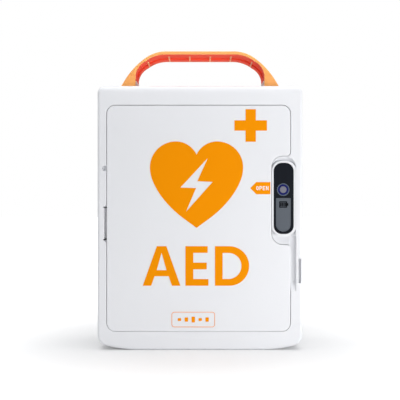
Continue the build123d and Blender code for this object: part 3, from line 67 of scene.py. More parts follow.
class Finish:
    """A node material in the making: one Principled shader and whatever feeds it."""

    def __init__(self, name, colour, roughness, metallic=0.0, coat=0.0, coat_roughness=0.1, specular=0.5):
        self.material = bpy.data.materials.new(name)
        self.material.use_nodes = True
        self.tree = self.material.node_tree
        self.shader = self.tree.nodes["Principled BSDF"]
        self.colour = colour
        self.shader.inputs["Base Color"].default_value = colour
        self.shader.inputs["Roughness"].default_value = roughness
        self.shader.inputs["Metallic"].default_value = metallic
        self.shader.inputs["Coat Weight"].default_value = coat
        self.shader.inputs["Coat Roughness"].default_value = coat_roughness
        self.shader.inputs["Specular IOR Level"].default_value = specular
        self.roughness = roughness
        self.material.diffuse_color = colour

    def node(self, kind, **settings):
        made = self.tree.nodes.new(kind)
        for key, value in settings.items():
            setattr(made, key, value)
        return made

    def link(self, source, target):
        self.tree.links.new(source, target)

    def place(self, scale=(1.0, 1.0, 1.0)):
        """Object coordinates in metres, scaled."""
        coords = self.node("ShaderNodeTexCoord")
        mapping = self.node("ShaderNodeMapping")
        mapping.inputs["Scale"].default_value = scale
        self.link(coords.outputs["Object"], mapping.inputs["Vector"])
        return mapping.outputs["Vector"]

    def noise(self, scale, detail=3.0, stretch=(1.0, 1.0, 1.0)):
        texture = self.node("ShaderNodeTexNoise")
        texture.inputs["Scale"].default_value = scale
        texture.inputs["Detail"].default_value = detail
        self.link(self.place(stretch), texture.inputs["Vector"])
        return texture.outputs["Fac"]

    def ramp(self, source, low, high):
        """Maps a 0 to 1 pattern to a range of values."""
        spread = self.node("ShaderNodeMapRange")
        spread.inputs["To Min"].default_value = low
        spread.inputs["To Max"].default_value = high
        self.link(source, spread.inputs["Value"])
        return spread.outputs["Result"]

    def mottle(self, scale, amount):
        """Slight lighter and darker drift of the base colour."""
        mix = self.node("ShaderNodeMix", data_type="RGBA")
        mix.inputs["A"].default_value = shade(self.colour, 1 - amount)
        mix.inputs["B"].default_value = shade(self.colour, 1 + amount)
        self.link(self.noise(scale), mix.inputs["Factor"])
        self.link(mix.outputs["Result"], self.shader.inputs["Base Color"])
        return self

    def uneven_gloss(self, scale, amount):
        self.link(self.ramp(self.noise(scale, 4.0), self.roughness - amount, self.roughness + amount),
                  self.shader.inputs["Roughness"])
        return self

    def grain(self, scale, strength, distance=0.0001, stretch=(1.0, 1.0, 1.0), detail=3.0):
        """Fine moulded or brushed relief."""
        bump = self.node("ShaderNodeBump")
        bump.inputs["Strength"].default_value = strength
        bump.inputs["Distance"].default_value = distance
        self.link(self.noise(scale, detail, stretch), bump.inputs["Height"])
        self.link(bump.outputs["Normal"], self.shader.inputs["Normal"])
        return self


def moulded(name, colour, roughness, coat=0.0, grain=0.10, mottle=0.012, scale=2600, specular=0.5):
    """Injection-moulded plastic: faint colour drift, uneven gloss and a fine spark texture."""
    finish = Finish(name, colour, roughness, coat=coat, specular=specular)
    finish.mottle(14, mottle)
    finish.uneven_gloss(60, 0.035)
    finish.grain(scale, grain, 0.00003)
    return finish.material


def printed(name, colour, roughness=0.5):
    """Screen-printed ink or film: hardly any sheen, with a very fine dot of uneven cover."""
    finish = Finish(name, colour, roughness, specular=0.04)
    finish.mottle(40, 0.008)
    finish.uneven_gloss(500, 0.05)
    finish.grain(4000, 0.05, 0.00001)
    return finish.material


def foil_laminate(name, colour):
    """Crinkled aluminium laminate of a sealed pouch."""
    finish = Finish(name, colour, 0.3, metallic=0.75)
    finish.mottle(60, 0.05)
    finish.uneven_gloss(120, 0.12)
    finish.grain(140, 0.5, 0.0006, detail=6.0)
    return finish.material


def circuit(name, colour):
    """Solder mask over faint copper tracks."""
    finish = Finish(name, colour, 0.3, coat=0.3)
    tracks = finish.node("ShaderNodeTexBrick")
    tracks.inputs["Color1"].default_value = colour
    tracks.inputs["Color2"].default_value = shade(colour, 0.8)
    tracks.inputs["Mortar"].default_value = shade(colour, 1.9)
    tracks.inputs["Scale"].default_value = 1.0
    tracks.inputs["Mortar Size"].default_value = 0.0003
    tracks.inputs["Brick Width"].default_value = 0.012
    tracks.inputs["Row Height"].default_value = 0.003
    turned = finish.node("ShaderNodeMapping")
    turned.inputs["Rotation"].default_value = (math.radians(90), 0, 0)
    finish.link(finish.place(), turned.inputs["Vector"])
    finish.link(turned.outputs["Vector"], tracks.inputs["Vector"])
    finish.link(tracks.outputs["Color"], finish.shader.inputs["Base Color"])
    finish.grain(600, 0.2, 0.00004)
    return finish.material


def metal(name, colour, roughness, stretch=(1.0, 1.0, 1.0)):
    """Plated or brushed metal."""
    finish = Finish(name, colour, roughness, metallic=1.0)
    finish.mottle(120, 0.06)
    finish.uneven_gloss(300, 0.08)
    finish.grain(900, 0.15, 0.00004, stretch)
    return finish.material


def wear(node, material):
    """Gives a CAD node one material."""
    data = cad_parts[node].data
    data.materials.clear()
    data.materials.append(material)


# ---------------------------------------------------------------- camera, light and floor
EYE_HEIGHT = 0.1608
EYE_DISTANCE = 0.816
LENS_MM, SENSOR_MM = 64.8, 36.0
FLOOR_RADIUS = 6.0
FLOOR_WHITE = (0.88, 0.88, 0.88, 1)
# painted light: how strongly the floor glows for the eye, near the object and far from it
FLOOR_GLOW_NEAR, FLOOR_GLOW_FAR = 0.10, 0.95
FLOOR_GLOW_START, FLOOR_GLOW_END = 0.10, 0.50
TENT_STRENGTH = 0.48


def add_camera():
    data = bpy.data.cameras.new("camera")
    data.lens = LENS_MM
    data.sensor_width = SENSOR_MM
    data.clip_start = 0.01
    camera = bpy.data.objects.new("camera", data)
    camera.location = (0.0, -EYE_DISTANCE, EYE_HEIGHT)
    camera.rotation_euler = (math.radians(90), 0, 0)
    bpy.context.scene.collection.objects.link(camera)
    bpy.context.scene.camera = camera


def add_area(name, place, aim, size, power, spread=180):
    data = bpy.data.lights.new(name, "AREA")
    data.shape = "RECTANGLE"
    data.size, data.size_y = size
    data.energy = power
    data.spread = math.radians(spread)
    light = bpy.data.objects.new(name, data)
    light.location = place
    light.rotation_euler = (Vector(aim) - Vector(place)).to_track_quat("-Z", "Y").to_euler()
    bpy.context.scene.collection.objects.link(light)


def add_world():
    """Soft daylight tent: the object is lit by an even, slightly dimmer white than the backdrop."""
    world = bpy.data.worlds.new("tent")
    bpy.context.scene.world = world
    world.use_nodes = True
    nodes, links = world.node_tree.nodes, world.node_tree.links
    backdrop = nodes["Background"]
    backdrop.inputs["Color"].default_value = (1, 1, 1, 1)
    backdrop.inputs["Strength"].default_value = 1.0
    tent = nodes.new("ShaderNodeBackground")
    tent.inputs["Color"].default_value = (0.97, 0.98, 1.0, 1)
    tent.inputs["Strength"].default_value = TENT_STRENGTH
    path = nodes.new("ShaderNodeLightPath")
    mix = nodes.new("ShaderNodeMixShader")
    links.new(path.outputs["Is Camera Ray"], mix.inputs["Fac"])
    links.new(tent.outputs["Background"], mix.inputs[1])
    links.new(backdrop.outputs["Background"], mix.inputs[2])
    links.new(mix.outputs["Shader"], nodes["World Output"].inputs["Surface"])


def add_floor():
    mesh = bpy.data.meshes.new("floor")
    shape = bmesh.new()
    bmesh.ops.create_circle(shape, cap_ends=True, segments=96, radius=FLOOR_RADIUS)
    shape.to_mesh(mesh)
    shape.free()
    floor = bpy.data.objects.new("floor", mesh)
    bpy.context.scene.collection.objects.link(floor)
    finish = Finish("floor_white_painted_glow", FLOOR_WHITE, 0.9, specular=0.05)
    finish.mottle(3, 0.004)
    # painted light: the floor glows for the eye, faintly close to the object and up to plain white away from
    # it, so that no horizon shows
    finish.shader.inputs["Emission Color"].default_value = (1, 1, 1, 1)
    reach = finish.node("ShaderNodeVectorMath", operation="LENGTH")
    finish.link(finish.place(), reach.inputs[0])
    spread = finish.node("ShaderNodeMapRange", interpolation_type="SMOOTHSTEP")
    spread.inputs["From Min"].default_value = FLOOR_GLOW_START
    spread.inputs["From Max"].default_value = FLOOR_GLOW_END
    spread.inputs["To Min"].default_value = FLOOR_GLOW_NEAR
    spread.inputs["To Max"].default_value = FLOOR_GLOW_FAR
    finish.link(reach.outputs["Value"], spread.inputs["Value"])
    # only the eye sees this white: it throws no light on the object
    path = finish.node("ShaderNodeLightPath")
    seen = finish.node("ShaderNodeMath", operation="MULTIPLY")
    finish.link(spread.outputs["Result"], seen.inputs[0])
    finish.link(path.outputs["Is Camera Ray"], seen.inputs[1])
    finish.link(seen.outputs["Value"], finish.shader.inputs["Emission Strength"])
    mesh.materials.append(finish.material)


bpy.context.scene.view_settings.view_transform = "Standard"
add_camera()
add_world()
add_floor()
add_area("top_box", (0.0, 0.05, 1.10), (0.0, 0.0, 0.20), (1.2, 0.8), 7.3)
add_area("right_box", (0.50, -0.50, 0.03), (0.06, 0.0, 0.08), (0.4, 0.3), 3.1)
add_area("low_fill", (-0.45, -0.75, 0.12), (-0.05, 0.0, 0.04), (0.3, 0.2), 0.25)
add_area("handle_box", (0.0, -0.60, 0.64), (0.0, 0.0, 0.355), (0.3, 0.1), 0.030, spread=20)

# ---------------------------------------------------------------- finishes
WHITE = linear(238, 239, 242)
case_white = moulded("case_white", WHITE, 0.38, grain=0.05)
lid_white = moulded("lid_white", WHITE, 0.34, grain=0.04)
arm_white = moulded("arm_white", linear(250, 250, 252), 0.5, grain=0.05)
inner_grey = moulded("inner_grey", linear(206, 209, 214), 0.52, grain=0.25, scale=1500)
battery_grey = moulded("battery_grey", linear(92, 95, 100), 0.5, grain=0.25, scale=1500)
handle_orange = moulded("handle_orange", linear(255, 178, 100), 0.28, grain=0.0, mottle=0.006, specular=0.35)
grip_red = moulded("grip_red", linear(255, 92, 62), 0.6, grain=0.08, scale=1800, specular=0.12)
print_orange = printed("print_orange", linear(249, 150, 0))
print_white = printed("print_white", linear(250, 250, 250))
print_dark = printed("print_dark", linear(40, 46, 58))
print_blue = printed("print_blue", linear(58, 96, 150))
print_pale = printed("print_pale", linear(196, 210, 226))
print_skin = printed("print_skin", linear(226, 205, 186))
window_black = moulded("window_black", linear(18, 22, 30), 0.3, grain=0.0, mottle=0.02, specular=0.15)
display_grey = moulded("display_grey", linear(92, 98, 106), 0.35, grain=0.02, mottle=0.04, specular=0.25)
display_ink = moulded("display_ink", linear(14, 16, 22), 0.5, grain=0.02, specular=0.05)
ring_grey = moulded("ring_grey", linear(88, 100, 116), 0.3, specular=0.3)
ring_navy = moulded("ring_navy", linear(26, 32, 96), 0.25, specular=0.3)
lens_grey = moulded("lens_grey", linear(122, 122, 134), 0.3, specular=0.4)
rubber_black = moulded("rubber_black", linear(34, 34, 36), 0.75, grain=0.4, scale=1200)
steel = metal("zinc_steel", (0.62, 0.62, 0.63, 1), 0.35)
aluminium = metal("aluminium", (0.78, 0.79, 0.8, 1), 0.32, (1, 1, 12))
copper = metal("copper_wire", (0.72, 0.36, 0.18, 1), 0.35, (1, 1, 30))
overlay_blue = moulded("overlay_blue", linear(46, 62, 88), 0.45, grain=0.1)
power_green = moulded("power_green", linear(30, 160, 84), 0.3, coat=0.3)
shock_orange = moulded("shock_orange", linear(244, 106, 18), 0.28, coat=0.4)
info_blue = moulded("info_blue", linear(36, 112, 200), 0.3, coat=0.3)
light_lens = moulded("light_lens", linear(240, 236, 226), 0.25, coat=0.5)
dark_plastic = moulded("dark_plastic", linear(38, 39, 42), 0.5, grain=0.3, scale=1500)
circuit_green = circuit("circuit_green", linear(20, 92, 52))
ferrite = moulded("ferrite", linear(70, 70, 72), 0.8, grain=0.4)
cell_wrap = moulded("cell_wrap", linear(54, 96, 160), 0.35)
pouch_foil = foil_laminate("pouch_foil", linear(222, 225, 230))
glass_tint = moulded("glass_tint", linear(190, 214, 204), 0.1, coat=1.0)

LOOKS = {
    case_white: ["front_housing", "rear_housing"],
    lid_white: ["lid_panel"],
    arm_white: ["hinge_arm"],
    inner_grey: ["lid_liner", "control_panel", "lid_catch"],
    battery_grey: ["battery_case", "battery_cover"],
    handle_orange: ["handle_shell"],
    grip_red: ["handle_grip"],
    print_orange: ["heart_label", "cross_label", "letters_label", "base_label", "open_tag"],
    window_black: ["status_bezel"],
    display_grey: ["status_display"],
    ring_grey: ["ring_trim"],
    ring_navy: ["ring_light"],
    lens_grey: ["ring_lens"],
    rubber_black: ["housing_gasket", "lid_gasket", "window_gasket", "rear_feet"],
    steel: ["housing_screws", "panel_screws", "hinge_arm_screws", "hinge_pin", "handle_pins",
            "speaker_magnet", "lid_magnet", "coin_cell"],
    overlay_blue: ["panel_overlay"],
    power_green: ["power_button"],
    shock_orange: ["shock_button"],
    info_blue: ["info_button"],
    light_lens: ["shock_ring", "status_lights"],
    dark_plastic: ["patient_selector", "pads_socket", "board_connectors", "board_chips", "speaker_frame",
                   "discharge_relay", "push_switches", "speaker_cone", "battery_latch"],
    pouch_foil: ["pads_pouch"],
    circuit_green: ["main_board", "key_board", "power_board", "status_board"],
    aluminium: ["heat_sink", "storage_capacitor"],
    ferrite: ["transformer_core"],
    copper: ["transformer_winding", "battery_contacts"],
    glass_tint: ["reed_switch"],
    cell_wrap: ["battery_cells"],
}
for material, names in LOOKS.items():
    for name in names:
        wear(name, material)


# ---------------------------------------------------------------- flat shapes, points in mm
def polar(centre, reach, turn):
    """Point at a distance from a centre, at an angle in degrees."""
    angle = math.radians(turn)
    return (centre[0] + reach * math.cos(angle), centre[1] + reach * math.sin(angle))


def arc(centre, radius, start, end, steps):
    """Points round part of a circle, angles in degrees."""
    return [polar(centre, radius, start + (end - start) * step / steps) for step in range(steps + 1)]


def disc(centre, radius, steps=40):
    return arc(centre, radius, 0, 360, steps)[:-1]


def rounded(x0, x1, z0, z1, radius):
    """Rounded rectangle."""
    points = []
    corners = ((x1 - radius, z1 - radius, 0), (x0 + radius, z1 - radius, 90),
               (x0 + radius, z0 + radius, 180), (x1 - radius, z0 + radius, 270))
    for x, z, start in corners:
        points += arc((x, z), radius, start, start + 90, 6)
    return points


def stroke(start, end, width):
    """Straight line with round ends."""
    turn = math.degrees(math.atan2(end[1] - start[1], end[0] - start[0]))
    return arc(end, width / 2, turn - 90, turn + 90, 8) + arc(start, width / 2, turn + 90, turn + 270, 8)


def band(centre, outer, inner, start, end):
    """Part of a ring."""
    return arc(centre, outer, start, end, 36) + arc(centre, inner, end, start, 36)


def arrow_head(tip, size, turn):
    """Triangle that points along the angle turn."""
    return [polar(tip, size, turn + swing) for swing in (0, 130, 230)]


def bolt(centre, size):
    """Six-cornered lightning bolt of a given height."""
    corners = ((0.21, 0.5), (-0.30, -0.05), (-0.01, -0.06), (-0.195, -0.5), (0.30, 0.055), (0.015, 0.07))
    return [(centre[0] + size * x, centre[1] + size * z) for x, z in corners]


class Print:
    """Thin printed or inlaid shapes, gathered into one mesh that rides on a body."""

    def __init__(self, name):
        self.name = name
        self.shape = bmesh.new()
        self.materials = []

    def add(self, outline, back, front, material):
        """A closed slab of a flat outline, in mm, from depth back to depth front."""
        if material not in self.materials:
            self.materials.append(material)
        corners = [self.shape.verts.new((x * MM, back * MM, z * MM)) for x, z in outline]
        face = self.shape.faces.new(corners)
        grown = bmesh.ops.extrude_face_region(self.shape, geom=[face])["geom"]
        moved = [item for item in grown if isinstance(item, bmesh.types.BMVert)]
        bmesh.ops.translate(self.shape, verts=moved, vec=(0, (front - back) * MM, 0))
        for made in {face for vert in corners + moved for face in vert.link_faces}:
            made.material_index = self.materials.index(material)
        return self

    def place(self, body, slot):
        bmesh.ops.recalc_face_normals(self.shape, faces=self.shape.faces[:])
        mesh = bpy.data.meshes.new(self.name)
        self.shape.to_mesh(mesh)
        self.shape.free()
        for material in self.materials:
            mesh.materials.append(material)
        piece = bpy.data.objects.new(self.name, mesh)
        bpy.context.scene.collection.objects.link(piece)
        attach(piece, body)
        return piece


def lettering(name, words, centre, y, height, material, body, turned=False, bold=0.0):
    """A word or number as thin raised ink. Turned ones face the back."""
    curve = bpy.data.curves.new(name, "FONT")
    curve.body = words
    curve.size = height * MM / 0.73
    curve.align_x = "CENTER"
    curve.align_y = "CENTER"
    curve.extrude = 0.00002
    curve.offset = bold * MM
    source = bpy.data.objects.new(name + "_source", curve)
    bpy.context.scene.collection.objects.link(source)
    bpy.context.view_layer.update()
    mesh = bpy.data.meshes.new_from_object(source.evaluated_get(bpy.context.evaluated_depsgraph_get()))
    bpy.data.objects.remove(source)
    heading = math.radians(180 if turned else 0)
    pose = Matrix.Translation((centre[0] * MM, y * MM, centre[1] * MM))
    pose = pose @ Matrix.Rotation(heading, 4, "Z") @ Matrix.Rotation(math.radians(90), 4, "X")
    mesh.transform(pose)
    mesh.name = name
    mesh.materials.clear()
    mesh.materials.append(material)
    piece = bpy.data.objects.new(name, mesh)
    bpy.context.scene.collection.objects.link(piece)
    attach(piece, body)
    return piece


# ---------------------------------------------------------------- open tag: orange arrow with its word
TAG_POINT = 6.5
WORD_LEFT, WORD_HEIGHT = 60.2, 4.4
LETTER_WIDTH, LETTER_GAP, LETTER_STROKE = 2.7, 0.8, 0.72


def bar(left, low, right, high):
    """Plain rectangle."""
    return [(left, low), (right, low), (right, high), (left, high)]


def letter_o(left, low):
    """Tall ring, as two halves: outer edge one way round, inner edge back."""
    centre = (left + LETTER_WIDTH / 2, low + WORD_HEIGHT / 2)
    halves = []
    for start in (90, 270):
        outer = arc((0, 0), 1.0, start, start + 180, 16)
        half = [(centre[0] + x * LETTER_WIDTH / 2, centre[1] + z * WORD_HEIGHT / 2) for x, z in outer]
        inner_x, inner_z = LETTER_WIDTH / 2 - LETTER_STROKE, WORD_HEIGHT / 2 - LETTER_STROKE
        half += [(centre[0] + x * inner_x, centre[1] + z * inner_z) for x, z in reversed(outer)]
        halves.append(half)
    return halves


def letter_p(left, low):
    """Stem and a round bowl."""
    top, stem = low + WORD_HEIGHT, left + LETTER_STROKE
    bowl = 0.3 * WORD_HEIGHT
    centre = (left + LETTER_WIDTH - bowl, top - bowl)
    curve = arc(centre, bowl, 90, -90, 14) + arc(centre, bowl - LETTER_STROKE, -90, 90, 14)
    return [bar(left, low, stem, top), bar(stem, top - LETTER_STROKE, centre[0], top),
            bar(stem, top - 2 * bowl, centre[0], top - 2 * bowl + LETTER_STROKE), curve]


def letter_e(left, low):
    """Stem and three arms."""
    top, middle, stem = low + WORD_HEIGHT, low + WORD_HEIGHT / 2, left + LETTER_STROKE
    right, half = left + LETTER_WIDTH, LETTER_STROKE / 2
    return [bar(left, low, stem, top), bar(stem, low, right, low + LETTER_STROKE),
            bar(stem, middle - half, right - 0.1 * LETTER_WIDTH, middle + half),
            bar(stem, top - LETTER_STROKE, right, top)]


def letter_n(left, low):
    """Two stems and the slant between them."""
    top, right = low + WORD_HEIGHT, left + LETTER_WIDTH
    slope = 1.6 * LETTER_STROKE
    slant = [(left + LETTER_STROKE, top), (left + LETTER_STROKE, top - slope),
             (right - LETTER_STROKE, low), (right - LETTER_STROKE, low + slope)]
    return [bar(left, low, left + LETTER_STROKE, top), bar(right - LETTER_STROKE, low, right, top), slant]


def open_tag():
    low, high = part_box("open_tag")
    left, right = low.x / MM, high.x / MM
    bottom, top = low.z / MM, high.z / MM
    middle = (bottom + top) / 2
    film_front = low.y / MM + 0.06
    shoulder = left + TAG_POINT
    tag = Print("open_tag_print")
    tag.add([(left, middle), (shoulder, bottom), (right, bottom), (right, top), (shoulder, top)],
            high.y / MM, film_front, print_orange)
    piece = tag.place("lid", "label_orange")
    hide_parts("open_tag")
    word = Print("open_word")
    left, bottom = WORD_LEFT, middle - WORD_HEIGHT / 2
    for strokes in (letter_o, letter_p, letter_e, letter_n):
        for outline in strokes(left, bottom):
            word.add(outline, film_front, film_front - INK, print_white)
        left += LETTER_WIDTH + LETTER_GAP
    word.place("lid", "label_orange")


# ---------------------------------------------------------------- status display: battery symbol and its bars
BATTERY_SIGN = (84.9, 93.4, 152.6, 159.4)         # x, x, z, z
SIGN_FRAME, SIGN_R = 1.1, 0.3
BAR_COUNT, BAR_WIDTH, BAR_GAP, BAR_INSET = 4, 1.3, 0.35, 1.4
TERMINAL_L, TERMINAL_INSET = 1.3, 2.0


def display_symbols():
    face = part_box("status_display")[0].y / MM
    symbol = Print("display_symbols")
    x0, x1, z0, z1 = BATTERY_SIGN
    for outline in (rounded(x0, x1, z0, z0 + SIGN_FRAME, SIGN_R), rounded(x0, x1, z1 - SIGN_FRAME, z1, SIGN_R),
                    rounded(x0, x0 + SIGN_FRAME, z0, z1, SIGN_R), rounded(x1 - SIGN_FRAME, x1, z0, z1, SIGN_R),
                    rounded(x1 - 0.2, x1 + TERMINAL_L, z0 + TERMINAL_INSET, z1 - TERMINAL_INSET, SIGN_R)):
        symbol.add(outline, face, face - INK, display_ink)
    for step in range(BAR_COUNT):
        x = x0 + SIGN_FRAME + BAR_GAP / 2 + (BAR_WIDTH + BAR_GAP) * step
        bar_shape = rounded(x, x + BAR_WIDTH, z0 + BAR_INSET, z1 - BAR_INSET, 0.1)
        symbol.add(bar_shape, face, face - INK, display_ink)
    symbol.place("case", "display")


# ---------------------------------------------------------------- buttons and their printed signs
def button_face(name):
    """Middle of a button in mm, and the depth of its face."""
    low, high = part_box(name)
    centre = ((low.x + high.x) / 2 / MM, (low.z + high.z) / 2 / MM)
    return centre, low.y / MM


def button_signs():
    """A ring and stroke for power, a bolt for the shock, a small i for information."""
    signs = Print("power_sign")
    centre, face = button_face("power_button")
    signs.add(band(centre, 6.2, 4.9, 125, 415), face, face - INK, print_white)
    upright = stroke((centre[0], centre[1] + 1.0), (centre[0], centre[1] + 6.6), 1.5)
    signs.add(upright, face, face - INK, print_white)
    signs.place("power_button", "power_green")
    signs = Print("shock_sign")
    centre, face = button_face("shock_button")
    signs.add(bolt(centre, 22.0), face, face - INK, print_white)
    signs.place("shock_button", "shock_orange")
    signs = Print("info_sign")
    centre, face = button_face("info_button")
    signs.add(disc((centre[0], centre[1] + 3.4), 0.95, 20), face, face - INK, print_white)
    stem = stroke((centre[0], centre[1] + 0.9), (centre[0], centre[1] - 3.2), 1.6)
    signs.add(stem, face, face - INK, print_white)
    signs.place("info_button", "info_blue")


def figure(sheet, centre, height, back, front, material):
    """Plain standing figure, as on a sign."""
    x, z = centre
    unit = height / 10
    sheet.add(disc((x, z + 8.9 * unit), 1.1 * unit, 20), back, front, material)
    body = rounded(x - 1.3 * unit, x + 1.3 * unit, z + 3.8 * unit, z + 7.5 * unit, 0.5 * unit)
    sheet.add(body, back, front, material)
    for side in (-unit, unit):
        arm = stroke((x + 1.7 * side, z + 7.0 * unit), (x + 2.3 * side, z + 4.0 * unit), 0.7 * unit)
        leg = stroke((x + 0.75 * side, z + 3.9 * unit), (x + 0.75 * side, z + 0.6 * unit), 1.1 * unit)
        sheet.add(arm, back, front, material)
        sheet.add(leg, back, front, material)


PANEL_LINE = 0.9
POWER_RING_OUT, POWER_RING_IN = 14.2, 13.5
BRACKET_LOW, BRACKET_Z = 114.0, 119.0             # from the socket up and along to the lights
LIGHTS_X, LIGHTS_Z, LIGHT_RING_OUT, LIGHT_RING_IN = (-12.0, 0.0, 12.0), 125.0, 3.4, 2.9
ARROW_REACH, ARROW_SIZE, ARROW_TURNS = 25.0, 2.2, (160, 200, 240)
ADULT_AT, ADULT_HEIGHT = (-42.0, 46.5), 11.0
CHILD_AT, CHILD_HEIGHT = (-12.6, 48.0), 7.5
STEPS = (("step_one", "1", (-82.0, 112.0)), ("step_two", "2", (-40.0, 117.0)),
         ("step_three", "3", (-17.0, 96.0)))
STEP_HEIGHT, NUMBER_BOLD = 5.0, 0.12
WHOLE_RING = (0, 359.9)


def panel_print():
    """Signs on the overlay: numbered steps, the way from socket to lights, and the two patient sizes."""
    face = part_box("panel_overlay")[0].y / MM
    ink = face - INK
    power_at = button_face("power_button")[0]
    shock_at = button_face("shock_button")[0]
    socket_x = button_face("pads_socket")[0][0]
    sheet = Print("panel_print")
    # ring round the power button, and a bracket that joins the socket to the three lights
    sheet.add(band(power_at, POWER_RING_OUT, POWER_RING_IN, *WHOLE_RING), face, ink, print_pale)
    sheet.add(stroke((socket_x, BRACKET_LOW), (socket_x, BRACKET_Z), PANEL_LINE), face, ink, print_pale)
    sheet.add(stroke((socket_x, BRACKET_Z), (LIGHTS_X[-1], BRACKET_Z), PANEL_LINE), face, ink, print_pale)
    for x in LIGHTS_X:
        sheet.add(stroke((x, BRACKET_Z + 0.4), (x, BRACKET_Z + 2.2), PANEL_LINE), face, ink, print_pale)
        ring = band((x, LIGHTS_Z), LIGHT_RING_OUT, LIGHT_RING_IN, *WHOLE_RING)
        sheet.add(ring, face, ink, print_pale)
    # arrows towards the shock button
    for turn in ARROW_TURNS:
        tip = polar(shock_at, ARROW_REACH, turn)
        sheet.add(arrow_head(tip, ARROW_SIZE, turn + 180), face, ink, print_orange)
    figure(sheet, ADULT_AT, ADULT_HEIGHT, face, ink, print_pale)
    figure(sheet, CHILD_AT, CHILD_HEIGHT, face, ink, print_pale)
    sheet.place("case", "overlay")
    for name, number, centre in STEPS:
        lettering(name, number, centre, ink, STEP_HEIGHT, print_white, "case", bold=NUMBER_BOLD)


# ---------------------------------------------------------------- quick-guide card inside the lid
CARD_T, CARD_R = 0.35, 5.0
CARD_LEFT, CARD_RIGHT, CARD_ROWS = -70.0, 66.0, ((162.0, 252.0), (32.0, 112.0))
BANNER_INSET, BANNER_H, BANNER_R = 4.0, 9.0, 2.5
CHEST_AT, HEAD_RISE, HEAD_R = (-34.0, 200.0), 27.0, 8.5
PAD_HALF = (6.0, 5.0)
SHOCK_SIGN_AT, SHOCK_SIGN_R, SHOCK_BOLT = (30.0, 200.0), 17.0, 24.0
RAY_IN, RAY_OUT, RAY_WIDTH, RAY_TURNS = 20.0, 25.0, 1.3, (20, 90, 160, 230, 310)
FRAME_X, FRAME_PITCH, FRAME_HALF, FRAME_ROW = -50.0, 44.0, 18.0, (42.0, 92.0)
FIGURE_FOOT, FIGURE_HEIGHT = 50.0, 32.0
GUIDE_NUMBERS = (("1", (58.0, 243.5)), ("2", (0.0, 243.5)), ("3", (58.0, 104.5)))
GUIDE_NUMBER_HEIGHT = 5.5


def guide_card():
    """Two cards: the pads on a chest and the shock sign above, three small pictures below."""
    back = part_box("lid_liner")[1].y / MM
    card = Print("guide_card")
    face = back + CARD_T
    ink = face + INK
    over = ink + INK
    for z0, z1 in CARD_ROWS:
        banner_top = z1 - BANNER_INSET
        banner = rounded(CARD_LEFT + BANNER_INSET, CARD_RIGHT - BANNER_INSET,
                         banner_top - BANNER_H, banner_top, BANNER_R)
        card.add(rounded(CARD_LEFT, CARD_RIGHT, z0, z1, CARD_R), back, face, print_white)
        card.add(banner, face, ink, print_blue)
    # first picture: a bare chest with the two pads where they go
    x, z = CHEST_AT
    card.add(rounded(x - 22, x + 22, z - 30, z + 20, 9), face, ink, print_skin)
    card.add(disc((x, z + HEAD_RISE), HEAD_R), face, ink, print_skin)
    for pad_x, pad_z in ((x + 10, z + 8), (x - 13, z - 14)):
        pad = rounded(pad_x - PAD_HALF[0], pad_x + PAD_HALF[0], pad_z - PAD_HALF[1], pad_z + PAD_HALF[1], 2.5)
        card.add(pad, ink, over, print_blue)
    # second picture: stand clear, then press the lit button
    card.add(disc(SHOCK_SIGN_AT, SHOCK_SIGN_R, 60), face, ink, print_orange)
    card.add(bolt(SHOCK_SIGN_AT, SHOCK_BOLT), ink, over, print_white)
    for turn in RAY_TURNS:
        ray = stroke(polar(SHOCK_SIGN_AT, RAY_IN, turn), polar(SHOCK_SIGN_AT, RAY_OUT, turn), RAY_WIDTH)
        card.add(ray, face, ink, print_dark)
    # lower card: a figure, an arrow down onto a bar, and a second figure
    columns = [FRAME_X + FRAME_PITCH * step for step in range(3)]
    for x in columns:
        card.add(rounded(x - FRAME_HALF, x + FRAME_HALF, *FRAME_ROW, 4.0), face, ink, print_pale)
    first, middle, last = columns
    figure(card, (first, FIGURE_FOOT), FIGURE_HEIGHT, ink, over, print_dark)
    card.add(rounded(middle - 14, middle + 14, 58.0, 66.0, 3.5), ink, over, print_dark)
    card.add(disc((middle, 76.0), 6.0), ink, over, print_orange)
    card.add(arrow_head((middle, 68.0), 4.0, 270), ink, over, print_orange)
    figure(card, (last, FIGURE_FOOT), FIGURE_HEIGHT, ink, over, print_blue)
    card.place("lid", "inner_grey")
    for number, centre in GUIDE_NUMBERS:
        lettering("guide_number_" + number, number, centre, ink + 0.03, GUIDE_NUMBER_HEIGHT, print_white,
                  "lid", turned=True, bold=NUMBER_BOLD)


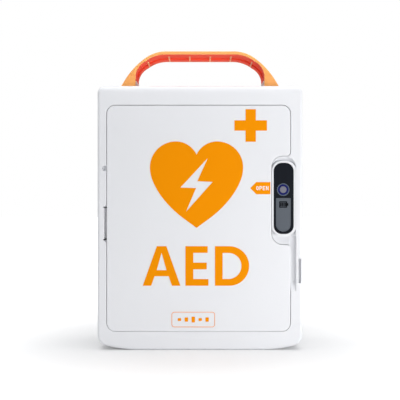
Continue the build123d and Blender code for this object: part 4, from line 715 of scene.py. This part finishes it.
# ---------------------------------------------------------------- foil pouch of the electrode pads
def pads_pouch():
    """Sealed laminate pouch: flat crimped edges, a low crown over the pads, creases to the corners."""
    low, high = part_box("pads_pouch")
    columns, rows = 110, 84
    flange, film = 7.0 * MM, 0.5 * MM
    crown = (high.y - low.y) - 2.2 * MM
    shape = bmesh.new()
    fronts, backs = [], []
    for row in range(rows + 1):
        front_line, back_line = [], []
        for column in range(columns + 1):
            x = low.x + (high.x - low.x) * column / columns
            z = low.z + (high.z - low.z) * row / rows
            inside_x = min(x - low.x, high.x - x) - flange
            inside_z = min(z - low.z, high.z - z) - flange
            inside = max(0.0, min(inside_x, inside_z))
            rise = 1 - math.exp(-inside / (9 * MM))
            rise *= 0.82 + 0.18 * math.sin(math.pi * column / columns) * math.sin(math.pi * row / rows)
            crease = noise.fractal((x * 55, z * 55, 3.1), 0.9, 2.2, 4) * 1.2 * MM
            crease += abs(noise.noise((x * 90 + z * 40, z * 90 - x * 40, 8.4))) * 1.3 * MM
            seal = 0.0
            if inside <= 0:
                edge = min(x - low.x, high.x - x, z - low.z, high.z - z)
                seal = 0.14 * MM * math.sin(edge / (1.4 * MM) * 2 * math.pi)
                crease *= 0.25
            height = film + rise * crown + crease * (0.35 + 0.65 * rise) + seal
            height = max(film, min(height, high.y - low.y - 0.1 * MM))
            front_line.append(shape.verts.new((x, high.y - height, z)))
            back_line.append(shape.verts.new((x, high.y - 0.05 * MM, z)))
        fronts.append(front_line)
        backs.append(back_line)
    for row in range(rows):
        for column in range(columns):
            for lines in (fronts, backs):
                shape.faces.new((lines[row][column], lines[row][column + 1],
                                 lines[row + 1][column + 1], lines[row + 1][column]))
    edge = [(0, column) for column in range(columns)] + [(row, columns) for row in range(rows)]
    edge += [(rows, column) for column in range(columns, 0, -1)] + [(row, 0) for row in range(rows, 0, -1)]
    for this, following in zip(edge, edge[1:] + edge[:1]):
        shape.faces.new((fronts[this[0]][this[1]], fronts[following[0]][following[1]],
                         backs[following[0]][following[1]], backs[this[0]][this[1]]))
    bmesh.ops.recalc_face_normals(shape, faces=shape.faces[:])
    for face in shape.faces:
        face.smooth = True
    mesh = bpy.data.meshes.new("pads_pouch_foil")
    shape.to_mesh(mesh)
    shape.free()
    mesh.materials.append(pouch_foil)
    pouch = bpy.data.objects.new("pads_pouch_foil", mesh)
    bpy.context.scene.collection.objects.link(pouch)
    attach(pouch, "case")
    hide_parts("pads_pouch")


open_tag()
display_symbols()
button_signs()
panel_print()
guide_card()
pads_pouch()
